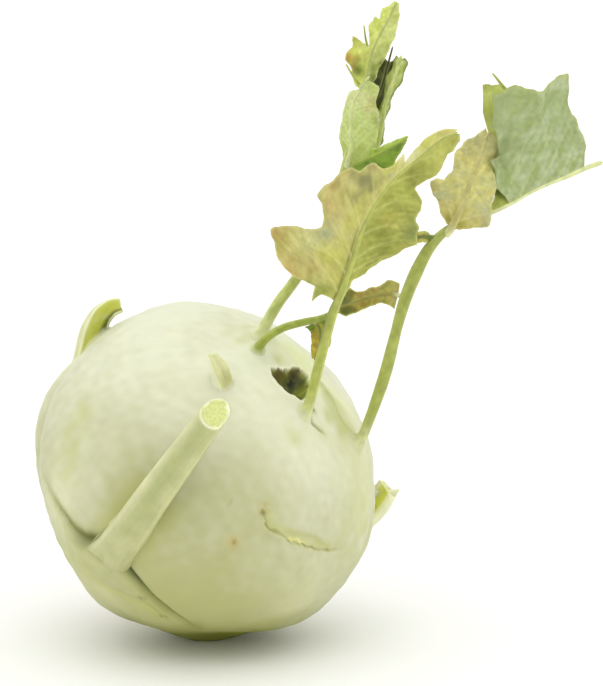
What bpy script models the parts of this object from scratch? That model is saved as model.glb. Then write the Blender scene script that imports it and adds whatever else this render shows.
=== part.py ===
"""A kohlrabi as picked: a swollen round stem, four cut leaf stalks and four wilting young leaves.

Every size below is in millimetres and becomes metres when a mesh is made. The origin is on the
table, in the small flat that the bulb rests on, right below the middle of the bulb. +Z is up.
"""

import math

import bmesh
import bpy
import numpy as np

MM = 0.001
GAP = 0.3

# The bulb: a slightly flattened ball whose crown leans forward and to the right.
BULB_CENTRE = np.array([0.0, 0.0, 41.6])
EQUATOR_RADIUS = 43.1
POLE_RADIUS = 39.6
CROWN = np.array([0.530, -0.522, 0.668])
FIRST_LEAF = np.array([-0.496, -0.830, -0.255])
ROOT_CUT_DEPTH = 1.3
ROOT_CUT_ANGLE = 168.0
PIT_RADIUS = 5.2
PIT_DEPTH = 5.0
BULB_RINGS = 44
BULB_SIDES = 80
FLAT_SIZE = 40.0

# Leaf bases round the bulb, each a leaf's place in the spiral: degrees down from the crown and
# degrees round it, half width of its wings, how far they sag to the west and to the east, then
# the depth of its crease, the height of the ridge below and the height of the swelling above.
LEAF_BASES = [
    (96.0, 0.0, 34.0, 0.62, 0.35, 1.4, 1.0, 1.3),
    (92.0, -81.0, 24.0, 0.60, 0.95, 0.9, 0.9, 0.3),
    (64.0, 117.0, 22.0, 0.40, 0.40, 0.9, 0.9, 0.2),
    (53.3, 49.5, 14.0, -1.10, 0.60, 1.1, 0.7, 0.4),
    (66.0, -165.0, 15.0, 0.30, 0.30, 1.0, 0.9, 0.4),
    (104.0, -138.0, 26.0, 0.50, 0.50, 1.0, 0.9, 0.5),
    (112.0, 85.0, 26.0, 0.50, 0.50, 0.9, 0.8, 0.6),
    (124.0, -50.0, 22.0, 0.50, 0.50, 0.7, 0.3, 0.0),
    (130.0, 172.0, 22.0, 0.50, 0.50, 0.7, 0.6, 0.3),
]
# Swellings and hollows: degrees down, degrees round, height, radius. The first five carry the
# stalks near the crown, and the last one is the foot, which the resting flat is sliced from.
SWELLINGS = [
    (11.0, 54.0, 1.8, 5.0),
    (31.0, 113.0, 1.6, 6.0),
    (23.0, -116.0, 1.8, 5.0),
    (18.0, -92.0, 1.4, 4.0),
    (28.0, -48.0, 1.5, 5.0),
    (107.0, -68.0, 2.0, 13.0),
    (40.0, -178.0, -1.8, 18.0),
    (56.0, 128.0, -1.4, 12.0),
    (128.0, -38.0, -0.6, 12.0),
    (66.0, -106.0, 1.8, 18.0),
    (114.6, 57.0, -2.8, 12.0),
    (128.0, 39.0, -0.9, 7.0),
    (135.0, 7.0, 0.8, 7.0),
    (131.6, 69.5, 1.9, 10.3),
]

# The cross-section that all leaf bases share, measured southwards from the leaf's own line.
MEAN_RADIUS = 42.0
CREASE_WIDTH = 1.6
RIDGE_PLACE = 3.6
RIDGE_WIDTH = 3.4
SWELLING_PLACE = -9.0
SWELLING_WIDTH = 7.0
SAG_KNEE = 10.0
RELIEF_REACH = 60.0
# The raised rim round the crown's pit.
PIT_RIM_HEIGHT = 1.2
PIT_RIM_PLACE = PIT_RADIUS + 2.0
PIT_RIM_WIDTH = 2.5

# Blades and stalks. A blade starts MIDRIB_INSET inside its midrib, and its first side follows
# the real margin for about LEAD_FADE. CHANNEL_HALF_ANGLE is in radians of the cross-section.
BLADE_THICKNESS = 0.8
MIDRIB_INSET = 0.15
LEAD_FADE = 3.0
CHANNEL_HALF_ANGLE = 0.7
ROUTE_SAMPLES = 160
SHARP_EDGE_ANGLE = 50.0


def unit(vector):
    vector = np.asarray(vector, float)
    return vector / np.linalg.norm(vector, axis=-1, keepdims=True)


CROWN = unit(CROWN)
ROUND_X = unit(FIRST_LEAF - (FIRST_LEAF @ CROWN) * CROWN)
ROUND_Y = np.cross(CROWN, ROUND_X)


# ---------------------------------------------------------------- bulb surface


def bulb_direction(down, turn):
    """Unit vector that lies `down` radians from the crown and `turn` radians round it."""
    down = np.asarray(down, float)[..., None]
    turn = np.asarray(turn, float)[..., None]
    side = np.cos(turn) * ROUND_X + np.sin(turn) * ROUND_Y
    return np.cos(down) * CROWN + np.sin(down) * side


def offsets_from(directions, down, turn):
    """Millimetres along the skin from a site: east round the crown, and south to the root."""
    down, turn = math.radians(down), math.radians(turn)
    site = bulb_direction(down, turn)
    east = -math.sin(turn) * ROUND_X + math.cos(turn) * ROUND_Y
    south = bulb_direction(down + math.pi / 2, turn)
    angle = np.arccos(np.clip(directions @ site, -1, 1))
    stretch = MEAN_RADIUS * angle / np.maximum(np.sin(angle), 1e-6)
    return stretch * (directions @ east), stretch * (directions @ south)


def leaf_base_relief(directions, base):
    """A crease under the leaf, a ridge on its root side, and wings that sag and fade sideways."""
    down, turn, width, sag_west, sag_east, groove, ridge, rise = base
    east, south = offsets_from(directions, down, turn)
    slope = np.where(east < 0, sag_west, sag_east)
    below = south - slope * (np.hypot(east, SAG_KNEE) - SAG_KNEE)
    fade = np.exp(-((east / width) ** 4)) * (np.hypot(east, south) < RELIEF_REACH)
    crease = -groove * np.exp(-((below / CREASE_WIDTH) ** 2))
    wing = ridge * np.exp(-(((below - RIDGE_PLACE) / RIDGE_WIDTH) ** 2))
    swell = rise * np.exp(-(((below - SWELLING_PLACE) / SWELLING_WIDTH) ** 2))
    return fade * (crease + wing + swell)


def bulb_radius(directions):
    """Distance from the bulb's middle to its skin along each unit direction."""
    along = np.clip(directions @ CROWN, -1, 1)
    down = np.arccos(along)
    across = np.sin(down)
    radius = 1 / np.sqrt((across / EQUATOR_RADIUS) ** 2 + (along / POLE_RADIUS) ** 2)
    for base in LEAF_BASES:
        radius += leaf_base_relief(directions, base)
    for site_down, turn, height, size in SWELLINGS:
        distance = np.hypot(*offsets_from(directions, site_down, turn))
        radius += height * np.exp(-((distance / size) ** 2))
    from_crown = MEAN_RADIUS * down
    radius += PIT_RIM_HEIGHT * np.exp(-(((from_crown - PIT_RIM_PLACE) / PIT_RIM_WIDTH) ** 2))
    radius -= PIT_DEPTH * np.exp(-((from_crown / PIT_RADIUS) ** 4))
    root_plane = (POLE_RADIUS - ROOT_CUT_DEPTH) / np.maximum(-along, 0.5)
    at_root = down > math.radians(ROOT_CUT_ANGLE)
    return np.where(at_root, np.minimum(radius, root_plane), radius)


def bulb_mesh(name, extra=0.0):
    """Closed ball of rings from crown to root, each point at the skin's radius plus `extra`."""
    steps = np.arange(1, BULB_RINGS) / BULB_RINGS
    down = math.pi * steps**1.25
    turn = 2 * math.pi * np.arange(BULB_SIDES) / BULB_SIDES
    grid_down, grid_turn = np.meshgrid(down, turn, indexing="ij")
    directions = bulb_direction(grid_down.ravel(), grid_turn.ravel())
    directions = np.vstack([CROWN, directions, -CROWN])
    points = BULB_CENTRE + directions * (bulb_radius(directions) + extra)[:, None]
    return make_object(name, points, tube_faces(BULB_RINGS - 1, BULB_SIDES))


# ---------------------------------------------------------------- meshes


def tube_faces(rings, sides):
    """Faces of a closed tube: point 0, then the rings, then one last point."""
    faces = []
    last = 1 + rings * sides
    for side in range(sides):
        turn = (side + 1) % sides
        faces.append((0, 1 + side, 1 + turn))
        faces.append((last, last - sides + turn, last - sides + side))
        for ring in range(rings - 1):
            low, high = 1 + ring * sides, 1 + (ring + 1) * sides
            faces.append((low + side, high + side, high + turn, low + turn))
    return faces


def make_object(name, points, faces):
    """A mesh object in metres, of triangles that point outwards."""
    mesh = bpy.data.meshes.new(name)
    mesh.from_pydata([tuple(point) for point in np.asarray(points) * MM], [], faces)
    work = bmesh.new()
    work.from_mesh(mesh)
    bmesh.ops.triangulate(work, faces=work.faces)
    bmesh.ops.recalc_face_normals(work, faces=work.faces)
    work.to_mesh(mesh)
    work.free()
    made = bpy.data.objects.new(name, mesh)
    bpy.context.scene.collection.objects.link(made)
    return made


def remove_object(thing):
    bpy.data.objects.remove(thing, do_unlink=True)


def apply_boolean(target, other, operation):
    """Cuts or joins `other`, an object or a collection, into `target` for good."""
    cut = target.modifiers.new("cut", "BOOLEAN")
    cut.operation = operation
    cut.solver = "EXACT"
    if isinstance(other, bpy.types.Collection):
        cut.operand_type = "COLLECTION"
        cut.collection = other
    else:
        cut.object = other
    bpy.context.view_layer.update()
    graph = bpy.context.evaluated_depsgraph_get()
    mesh = bpy.data.meshes.new_from_object(target.evaluated_get(graph))
    target.modifiers.clear()
    target.data = mesh
    mesh.name = target.name


def join(name, pieces):
    """One Boolean union of the pieces, named `name`."""
    body = pieces[0]
    body.name = name
    if len(pieces) > 1:
        group = bpy.data.collections.new(name + "_pieces")
        bpy.context.scene.collection.children.link(group)
        for piece in pieces[1:]:
            group.objects.link(piece)
        apply_boolean(body, group, "UNION")
        bpy.data.collections.remove(group)
        for piece in pieces[1:]:
            remove_object(piece)
    return body


# ---------------------------------------------------------------- stalks and blades


def smooth_route(points):
    """Catmull-Rom curve through the points, evenly counted along each stretch."""
    points = np.asarray(points, float)
    ends = [2 * points[0] - points[1], 2 * points[-1] - points[-2]]
    points = np.vstack([ends[0], points, ends[1]])
    place = np.linspace(0, len(points) - 3, ROUTE_SAMPLES)
    index = np.minimum(place.astype(int), len(points) - 4)
    part = (place - index)[:, None]
    a, b, c, d = (points[index + step] for step in range(4))
    square = (2 * a - 5 * b + 4 * c - d) * part**2
    cube = (3 * b - 3 * c + d - a) * part**3
    return 0.5 * (2 * b + (c - a) * part + square + cube)


def along(route, distance):
    """Point and direction at each distance along the route, carried straight past its ends."""
    steps = np.linalg.norm(np.diff(route, axis=0), axis=1)
    reach = np.concatenate([[0], np.cumsum(steps)])
    slopes = unit(np.gradient(route, reach, axis=0))
    distance = np.asarray(distance, float)
    place = np.stack([np.interp(distance, reach, route[:, k]) for k in range(3)], -1)
    heading = unit(np.stack([np.interp(distance, reach, slopes[:, k]) for k in range(3)], -1))
    past = distance - np.clip(distance, 0, reach[-1])
    return place + past[..., None] * heading, heading


def route_length(route):
    return float(np.linalg.norm(np.diff(route, axis=0), axis=1).sum())


def stalk(name, points, radii, facing, sides=10, spacing=5.0, channel=0.0, cut=None):
    """Tube along a route, its radius read from `radii` at even steps along it.

    The cross-section is round with a channel on the side that faces `facing`, sunk by that share
    of the radius. `cut` is the direction that the end face looks in where the stalk is sliced.
    """
    route = smooth_route(points)
    length = route_length(route)
    rings = max(3, round(length / spacing) + 1)
    distance = np.linspace(0, length, rings)
    place, heading = along(route, distance)
    radius = np.interp(distance / length, np.linspace(0, 1, len(radii)), radii)
    across = unit(np.cross(facing, heading))
    front = np.cross(heading, across)
    turn = 2 * math.pi * np.arange(sides) / sides
    dent = 1 - channel * np.exp(-(((turn - math.pi / 2) / CHANNEL_HALF_ANGLE) ** 2))
    reach = radius[:, None] * dent
    ring = (
        place[:, None]
        + (reach * np.cos(turn))[..., None] * across[:, None]
        + (reach * np.sin(turn))[..., None] * front[:, None]
    )
    if cut is not None:
        slide = ((ring[-1] - place[-1]) @ unit(cut)) / (heading[-1] @ unit(cut))
        ring[-1] -= slide[:, None] * heading[-1]
    points = np.vstack([place[:1], ring.reshape(-1, 3), place[-1:]])
    return make_object(name, points, tube_faces(rings, sides))


def bent(route, flat, side, facing, fold, curl):
    """Places a flat pattern (along, across) on a leaf: across turns up by `fold` degrees at the
    midrib and by `curl` degrees more for each millimetre out, so it follows an arc."""
    distance, across = flat[..., 0], flat[..., 1]
    place, heading = along(route, distance)
    left = unit(np.cross(facing, heading))
    front = np.cross(heading, left)
    start = math.radians(fold)
    rate = math.radians(curl)
    if abs(rate) < 1e-6:
        out, up = across * math.cos(start), across * math.sin(start)
    else:
        out = (np.sin(start + rate * across) - math.sin(start)) / rate
        up = (math.cos(start) - np.cos(start + rate * across)) / rate
    return place + side * out[..., None] * left + up[..., None] * front


def margin_steps(margin, most=6.5):
    """The margin's own points, with more where two of them are over `most` mm apart."""
    rows = [margin[0]]
    for before, after in zip(margin[:-1], margin[1:]):
        gap = math.dist(before[1:], after[1:])
        count = max(1, math.ceil(gap / most))
        for step in range(1, count + 1):
            share = step / count
            rows.append(tuple((1 - share) * p + share * q for p, q in zip(before, after)))
    return np.array(rows)


def flat_pattern(margin, lead, columns):
    """Grid of flat points from the midrib out to the margin, whose first side follows `lead`."""
    rows = margin_steps(margin)
    share = np.linspace(0, 1, columns + 1)
    root = np.stack([rows[:, 0], np.full(len(rows), MIDRIB_INSET)], -1)
    edge = rows[:, 1:]
    flat = root[:, None] + share[None, :, None] * (edge - root)[:, None]
    side = np.array([root[0], *lead, edge[0]])
    reach = np.concatenate([[0], np.cumsum(np.linalg.norm(np.diff(side, axis=0), axis=1))])
    reach /= reach[-1]
    curved = np.stack([np.interp(share, reach, side[:, k]) for k in range(2)], -1)
    passed = np.concatenate([[0], np.cumsum(np.linalg.norm(np.diff(edge, axis=0), axis=1))])
    return flat + np.exp(-passed / LEAD_FADE)[:, None, None] * (curved - flat[0])[None]


def blade(
    name, route, facing, side, fold, curl, margin, wave=(0.0, 9.0, 0.0), lead=(), columns=3
):
    """Half a leaf blade as a thin closed sheet.

    Each margin row is (station on the midrib, along, across): a line runs from the midrib at the
    station to the flat pattern's point. `wave` is the height, length and phase of its ripples.
    """
    flat = flat_pattern(margin, lead, columns)
    share = np.linspace(0, 1, columns + 1)
    points = bent(route, flat, side, facing, fold, curl)
    lifted = bent(route, flat + [0.0, 0.01], side, facing, fold, curl)
    onward = bent(route, flat + [0.01, 0.0], side, facing, fold, curl)
    normal = unit(np.cross(onward - points, lifted - points))
    height, length, phase = wave
    ripple = height * share[None, :] ** 1.5 * np.sin(2 * math.pi * flat[..., 0] / length + phase)
    points = points + ripple[..., None] * normal
    half = 0.5 * BLADE_THICKNESS * normal
    return sheet(name, points + half, points - half, flat)


def twice_area(corners, triangles):
    first, second, third = (corners[triangles[..., k]] for k in range(3))
    one, other = second - first, third - first
    return one[..., 0] * other[..., 1] - one[..., 1] * other[..., 0]


def split_cells(flat):
    """Triangles of a grid, each cell split along the diagonal that stays inside it."""
    rows, columns = flat.shape[:2]
    index = np.arange(rows * columns).reshape(rows, columns)
    a, b, c, d = index[:-1, :-1], index[1:, :-1], index[1:, 1:], index[:-1, 1:]
    one = np.stack([np.stack([a, b, c], -1), np.stack([a, c, d], -1)], -2)
    other = np.stack([np.stack([a, b, d], -1), np.stack([b, c, d], -1)], -2)
    corners = flat.reshape(-1, 2)
    better = twice_area(corners, one).min(-1) >= twice_area(corners, other).min(-1)
    return np.where(better[..., None, None], one, other).reshape(-1, 3)


def sheet(name, front, back, flat):
    """Closed solid between two grids of points, split into triangles alike on both."""
    rows, columns = front.shape[:2]
    size = rows * columns
    index = np.arange(size).reshape(rows, columns)
    upper = split_cells(flat)
    lower = upper[:, ::-1] + size
    rim = np.concatenate([index[:, 0], index[-1, 1:], index[-2::-1, -1], index[0, -2:0:-1]])
    following = np.roll(rim, -1)
    wall = np.stack([following, rim, rim + size, following + size], -1)
    faces = [tuple(face) for face in np.vstack([upper, lower]).tolist()]
    faces += [tuple(face) for face in wall.tolist()]
    points = np.vstack([front.reshape(-1, 3), back.reshape(-1, 3)])
    return make_object(name, points, faces)


# ---------------------------------------------------------------- cut stalks
# A route is a list of points that a stalk's middle runs through, from inside the bulb outwards,
# with its radii at even steps along it, the direction its inner or outer side faces, and the
# direction its sliced end faces.


FRONT_STUB_ROUTE = [
    (-20.5, -19.5, 24.0),
    (-22.0, -26.5, 26.0),
    (-21.8, -33.2, 30.0),
    (-17.7, -39.4, 37.0),
    (-12.4, -44.0, 45.5),
    (-6.6, -47.0, 54.0),
    (-1.0, -48.7, 62.0),
    (2.7, -49.0, 67.0),
]
FRONT_STUB_RADII = [5.8, 5.5, 5.1, 4.6, 4.2, 3.9, 3.6, 3.5]
FRONT_STUB_AWAY = (-0.3, -0.9, 0.2)
FRONT_STUB_CUT = (0.30, -0.75, 0.60)


def cut_stalk_front():
    """The thickest stalk: it leaves the bulb low in front, runs up across it and is sliced."""
    route, radii = FRONT_STUB_ROUTE, FRONT_STUB_RADII
    return [stalk("stub", route, radii, FRONT_STUB_AWAY, sides=16, cut=FRONT_STUB_CUT)]


LEFT_STUB_ROUTE = [
    (-32.0, 6.0, 57.0),
    (-32.9, 7.0, 65.0),
    (-31.9, 7.2, 71.0),
    (-30.1, 7.1, 76.3),
    (-27.3, 6.8, 80.9),
    (-23.8, 6.4, 84.0),
]
LEFT_STUB_RADII = [4.4, 4.2, 3.9, 3.5, 3.2, 3.0]
LEFT_STUB_TO_CROWN = (0.7, -0.3, 0.6)
LEFT_STUB_CUT = (0.6, -0.3, 0.7)


def cut_stalk_left():
    """A short stalk on the left, channelled on its crown side and bent over at the tip."""
    route, radii, inner = LEFT_STUB_ROUTE, LEFT_STUB_RADII, LEFT_STUB_TO_CROWN
    return [stalk("stub", route, radii, inner, sides=16, channel=0.45, cut=LEFT_STUB_CUT)]


RIGHT_STUB_ROUTE = [
    (33.0, 13.5, 24.0),
    (36.5, 14.5, 26.5),
    (40.5, 15.0, 29.3),
    (43.9, 14.7, 32.8),
    (46.5, 14.2, 36.2),
]
RIGHT_STUB_RADII = [4.4, 4.0, 3.7, 3.4, 2.9]
RIGHT_STUB_TO_CROWN = (-0.3, -0.5, 0.8)
RIGHT_STUB_CUT = (0.6, -0.2, 0.75)


def cut_stalk_right():
    """A short channelled stalk on the right, far round the bulb."""
    route, radii, inner = RIGHT_STUB_ROUTE, RIGHT_STUB_RADII, RIGHT_STUB_TO_CROWN
    return [stalk("stub", route, radii, inner, sides=16, channel=0.4, cut=RIGHT_STUB_CUT)]


CROWN_STUB_ROUTE = [
    (5.5, -26.0, 68.5),
    (4.8, -28.8, 71.0),
    (3.9, -31.2, 73.8),
    (2.9, -33.0, 76.3),
]
CROWN_STUB_RADII = [2.8, 2.5, 2.0, 1.4]
CROWN_STUB_TO_CROWN = (0.5, 0.1, 0.9)


def cut_stalk_crown():
    """The torn foot of a small leaf, lying almost flat on the bulb beside the crown."""
    route, radii, inner = CROWN_STUB_ROUTE, CROWN_STUB_RADII, CROWN_STUB_TO_CROWN
    return [stalk("stub", route, radii, inner, sides=12, spacing=2.5, channel=0.4)]


# ---------------------------------------------------------------- leaves
# Each row of a blade's margin is (station on the midrib, along, across): where the row starts on
# the midrib, and the flat place of the margin there, along and square to the midrib.


MIDDLE_ROUTE = [
    (22.5, -23.3, 59.0),
    (24.4, -27.0, 64.0),
    (26.8, -30.0, 74.0),
    (29.0, -31.5, 83.0),
    (30.5, -32.5, 88.5),
    (32.0, -32.5, 92.0),
    (34.5, -32.5, 99.0),
    (37.5, -32.0, 108.5),
    (41.0, -31.0, 115.0),
    (45.0, -30.5, 120.0),
    (50.5, -29.0, 124.5),
    (55.5, -27.5, 128.5),
    (60.0, -26.0, 130.5),
]
MIDDLE_RADII = [2.0, 1.6, 1.55, 1.5, 1.4, 1.1, 0.9, 0.75, 0.6]
MIDDLE_FORWARD = (-0.15, -0.95, 0.25)
MIDDLE_LEFT = [
    (2.2, -0.5, 5.9),
    (2.8, 3.9, 6.4),
    (4.4, 4.0, 12.3),
    (5.0, 5.5, 16.0),
    (5.8, 7.2, 18.1),
    (7.6, 14.2, 21.2),
    (8.2, 15.2, 20.4),
    (9.6, 16.7, 15.8),
    (11.0, 17.0, 11.6),
    (13.0, 18.2, 9.6),
    (14.5, 20.2, 10.1),
    (15.5, 22.5, 11.6),
    (17.7, 23.4, 13.7),
    (18.6, 25.3, 13.2),
    (19.8, 26.7, 11.9),
    (21.5, 29.6, 11.1),
    (23.5, 31.0, 10.0),
    (25.5, 31.4, 7.4),
    (27.0, 33.3, 7.5),
    (28.5, 34.6, 6.8),
    (31.0, 34.9, 3.7),
    (33.5, 36.9, 2.7),
    (36.5, 40.7, 3.1),
    (38.4, 39.3, 1.1),
    (41.5, 44.2, 2.3),
    (45.5, 47.6, 2.9),
    (49.5, 51.0, 2.4),
    (53.6, 54.4, 0.5),
]
MIDDLE_RIGHT = [
    (2.0, 2.0, 1.2),
    (8.0, 8.6, 1.3),
    (8.8, 10.7, 4.4),
    (9.4, 11.6, 4.4),
    (11.5, 16.2, 10.2),
    (14.5, 23.4, 14.9),
    (18.0, 28.5, 13.2),
    (21.0, 29.7, 11.1),
    (26.0, 37.4, 9.7),
    (29.5, 37.8, 6.2),
    (37.0, 43.7, 5.6),
    (46.0, 52.1, 4.6),
    (51.5, 54.2, 2.2),
    (53.6, 54.4, 0.5),
]
MIDDLE_LEAD = [
    (2.5, 2.1),
    (2.5, 4.4),
]


def leaf_middle():
    """The lobed leaf in the middle: its underside, with the raised midrib, faces forward."""
    midrib = smooth_route(MIDDLE_ROUTE[4:])
    return [
        stalk("rib", MIDDLE_ROUTE, MIDDLE_RADII, MIDDLE_FORWARD, sides=7),
        blade(
            "left", midrib, MIDDLE_FORWARD, 1, -6, 0.6, MIDDLE_LEFT, (0.8, 13.0, 0.5), MIDDLE_LEAD
        ),
        blade("right", midrib, MIDDLE_FORWARD, -1, -38, 0.5, MIDDLE_RIGHT, wave=(0.6, 12.0, 0.0)),
    ]


RIGHT_ROUTE = [
    (36.3, -12.7, 50.2),
    (37.7, -16.5, 54.5),
    (40.7, -19.5, 63.3),
    (43.4, -20.5, 72.0),
    (45.5, -20.5, 80.6),
    (47.6, -19.7, 88.2),
    (50.3, -18.4, 95.0),
    (53.9, -16.7, 101.5),
    (58.3, -15.0, 105.6),
    (63.0, -14.0, 107.5),
    (69.0, -12.5, 109.4),
    (74.0, -11.0, 111.5),
    (78.5, -9.5, 113.9),
    (83.0, -8.5, 115.9),
    (87.5, -7.0, 117.5),
    (92.0, -5.5, 119.3),
    (96.6, -4.3, 120.8),
]
RIGHT_RADII = [2.2, 1.8, 1.75, 1.8, 1.75, 1.8, 1.85, 1.9, 1.7, 1.4, 1.2, 1.1, 1.0, 0.9, 0.8, 0.7]
RIGHT_FORWARD = (0.1, -0.95, 0.25)
RIGHT_NEAR = [
    (16.5, 23.8, 26.2),
    (18.0, 25.2, 25.1),
    (20.0, 28.0, 26.0),
    (21.0, 29.1, 24.2),
    (22.5, 31.2, 23.0),
    (25.0, 34.4, 21.6),
    (27.5, 37.3, 22.8),
    (29.5, 40.0, 23.5),
    (31.0, 42.4, 23.3),
    (32.0, 41.6, 20.8),
    (33.0, 40.0, 17.3),
    (34.0, 39.8, 13.5),
    (35.0, 40.7, 12.3),
    (36.0, 40.1, 8.6),
    (36.8, 40.1, 4.8),
    (37.4, 38.7, 1.7),
]
RIGHT_NEAR_LEAD = [
    (16.3, 2.4),
    (15.2, 5.0),
    (15.7, 6.7),
    (16.8, 9.2),
    (16.3, 12.1),
    (20.0, 11.6),
    (21.9, 16.6),
    (21.6, 18.9),
    (23.1, 22.2),
]
RIGHT_FAR = [
    (10.0, 25.2, 31.2),
    (13.0, 27.5, 30.4),
    (16.5, 30.0, 29.5),
    (20.0, 33.0, 25.0),
    (23.5, 36.5, 23.0),
    (27.0, 38.0, 18.5),
    (29.5, 40.5, 17.0),
    (32.5, 40.5, 11.0),
    (35.5, 40.5, 5.5),
    (37.4, 38.7, 1.7),
]
RIGHT_FAR_LEAD = [
    (14.0, 3.0),
    (17.5, 8.0),
    (18.7, 14.0),
    (22.4, 19.0),
    (23.3, 25.0),
]
RIGHT_LOBE_ROUTE = [
    (58.0, -15.3, 104.5),
    (59.1, -16.9, 106.3),
    (61.5, -17.0, 111.5),
    (64.0, -14.0, 117.5),
    (66.5, -10.5, 123.0),
    (68.5, -6.5, 128.5),
]
RIGHT_LOBE_FACING = (-0.15, -0.95, 0.25)
RIGHT_LOBE_LEFT = [
    (0.4, 0.2, 1.5),
    (1.5, 2.0, 3.8),
    (3.5, 6.6, 8.2),
    (5.0, 10.1, 9.9),
    (6.5, 11.4, 8.3),
    (8.5, 11.6, 6.6),
    (11.0, 13.6, 5.9),
    (15.0, 17.9, 6.3),
    (20.0, 23.5, 5.8),
    (23.0, 24.9, 3.8),
    (26.5, 27.9, 0.9),
]
RIGHT_LOBE_RIGHT = [
    (0.3, 0.1, 1.8),
    (1.4, 2.2, 4.5),
    (2.5, 3.8, 8.2),
    (5.0, 8.0, 7.1),
    (9.0, 11.6, 6.6),
    (12.5, 15.0, 6.2),
    (15.0, 17.9, 3.7),
    (18.0, 20.5, 3.9),
    (21.0, 23.0, 3.4),
    (26.5, 27.8, 0.9),
]
RIGHT_LEAFLET_ROUTE = [
    (47.0, -18.8, 90.0),
    (44.0, -17.5, 90.2),
    (39.5, -15.0, 89.0),
    (35.0, -12.5, 87.0),
    (31.5, -10.0, 85.5),
]
RIGHT_LEAFLET_FACING = (0.0, -0.95, 0.3)
RIGHT_LEAFLET_LOW = [
    (0.8, 1.2, 3.6),
    (2.5, 2.8, 2.9),
    (5.5, 6.0, 1.9),
    (10.0, 10.7, 2.3),
    (15.0, 16.5, 2.6),
    (18.0, 19.0, 1.0),
]
RIGHT_LEAFLET_HIGH = [
    (0.8, 1.4, 3.2),
    (3.0, 4.1, 3.8),
    (5.5, 6.8, 2.4),
    (10.5, 11.9, 2.5),
    (13.0, 14.2, 4.3),
    (16.0, 17.0, 4.0),
    (18.0, 19.0, 1.0),
]
RIGHT_SPUR_ROUTE = [
    (56.0, -15.8, 103.3),
    (54.5, -16.2, 103.7),
    (52.0, -17.5, 104.2),
    (49.0, -18.0, 103.5),
]
RIGHT_SPUR = [
    (0.6, 0.8, 1.0),
    (2.0, 2.5, 1.5),
    (4.0, 4.5, 1.3),
    (5.2, 5.8, 0.4),
]


def leaf_right():
    """The long leaf on the right, folded upwards along its midrib, with a loose lower lobe."""
    midrib = smooth_route(RIGHT_ROUTE[8:16])
    lobe_rib = smooth_route(RIGHT_LOBE_ROUTE[1:])
    leaflet_rib = smooth_route(RIGHT_LEAFLET_ROUTE)
    spur_rib = smooth_route(RIGHT_SPUR_ROUTE[1:])
    forward, lobe_facing = RIGHT_FORWARD, RIGHT_LOBE_FACING
    near_wave, far_wave, lobe_wave = (0.5, 14.0, 0.3), (0.6, 12.0, 1.0), (0.4, 9.0, 0.5)
    return [
        stalk("rib", RIGHT_ROUTE, RIGHT_RADII, forward, sides=7),
        blade("near", midrib, forward, 1, 12, 0.2, RIGHT_NEAR, near_wave, RIGHT_NEAR_LEAD, 6),
        blade("far", midrib, forward, -1, -154, -0.4, RIGHT_FAR, far_wave, RIGHT_FAR_LEAD, 4),
        stalk("lobe_rib", RIGHT_LOBE_ROUTE, [1.1, 0.9, 0.75, 0.6], RIGHT_LOBE_FACING, sides=6),
        blade("lobe_left", lobe_rib, lobe_facing, 1, -10, -0.3, RIGHT_LOBE_LEFT, lobe_wave),
        blade("lobe_right", lobe_rib, lobe_facing, -1, -14, -0.3, RIGHT_LOBE_RIGHT, lobe_wave),
        stalk("leaflet_rib", RIGHT_LEAFLET_ROUTE, [0.8, 0.7, 0.6], RIGHT_LEAFLET_FACING, sides=6),
        blade("low", leaflet_rib, RIGHT_LEAFLET_FACING, 1, -15, 0.0, RIGHT_LEAFLET_LOW, columns=2),
        blade(
            "high", leaflet_rib, RIGHT_LEAFLET_FACING, -1, -15, 0.0, RIGHT_LEAFLET_HIGH, columns=2
        ),
        stalk("spur_rib", RIGHT_SPUR_ROUTE, [1.0, 0.8, 0.6], RIGHT_FORWARD, sides=6),
        blade("spur_low", spur_rib, RIGHT_FORWARD, 1, 5, 0.0, RIGHT_SPUR, columns=2),
        blade("spur_high", spur_rib, RIGHT_FORWARD, -1, 5, 0.0, RIGHT_SPUR, columns=2),
    ]


BACK_ROUTE = [
    (12.6, -10.1, 76.4),
    (13.5, -12.9, 80.6),
    (17.1, -13.3, 87.1),
    (21.4, -11.8, 92.8),
    (26.7, -8.4, 100.4),
    (31.1, -4.9, 108.6),
    (33.3, -1.0, 118.0),
    (35.0, 0.0, 125.0),
    (36.5, 2.5, 131.5),
    (38.0, 4.0, 136.5),
    (39.0, 4.5, 141.0),
    (40.0, 4.5, 146.0),
    (42.0, 6.0, 150.5),
    (44.5, 8.0, 155.0),
    (46.5, 9.5, 159.0),
]
BACK_RADII = [1.7, 1.4, 1.35, 1.3, 1.25, 1.2, 1.1, 1.0, 0.9, 0.8, 0.7, 0.65, 0.6]
BACK_FORWARD = (-0.1, -0.98, 0.12)
BACK_PANEL_ROUTE = [
    (33.4, -0.8, 118.0),
    (35.0, -2.0, 123.5),
    (35.0, -2.5, 129.0),
    (35.5, -2.0, 134.5),
    (37.5, -1.0, 138.5),
    (39.5, -1.0, 141.5),
]
BACK_PANEL_LEFT = [
    (0.6, 1.2, 1.2),
    (4.5, 6.7, 4.3),
    (7.5, 9.4, 4.3),
    (12.0, 14.3, 3.1),
    (15.0, 16.9, 2.6),
    (18.0, 19.6, 3.1),
    (19.5, 20.8, 1.4),
    (23.5, 24.2, 0.5),
]
BACK_PANEL_RIGHT = [
    (0.6, 2.5, 2.8),
    (2.5, 5.2, 5.1),
    (4.5, 7.0, 6.3),
    (8.0, 10.5, 6.9),
    (12.0, 14.2, 6.7),
    (16.0, 19.0, 6.6),
    (18.0, 20.8, 4.6),
    (20.0, 22.8, 4.4),
    (22.0, 24.6, 3.4),
    (23.5, 24.2, 0.5),
]
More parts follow.
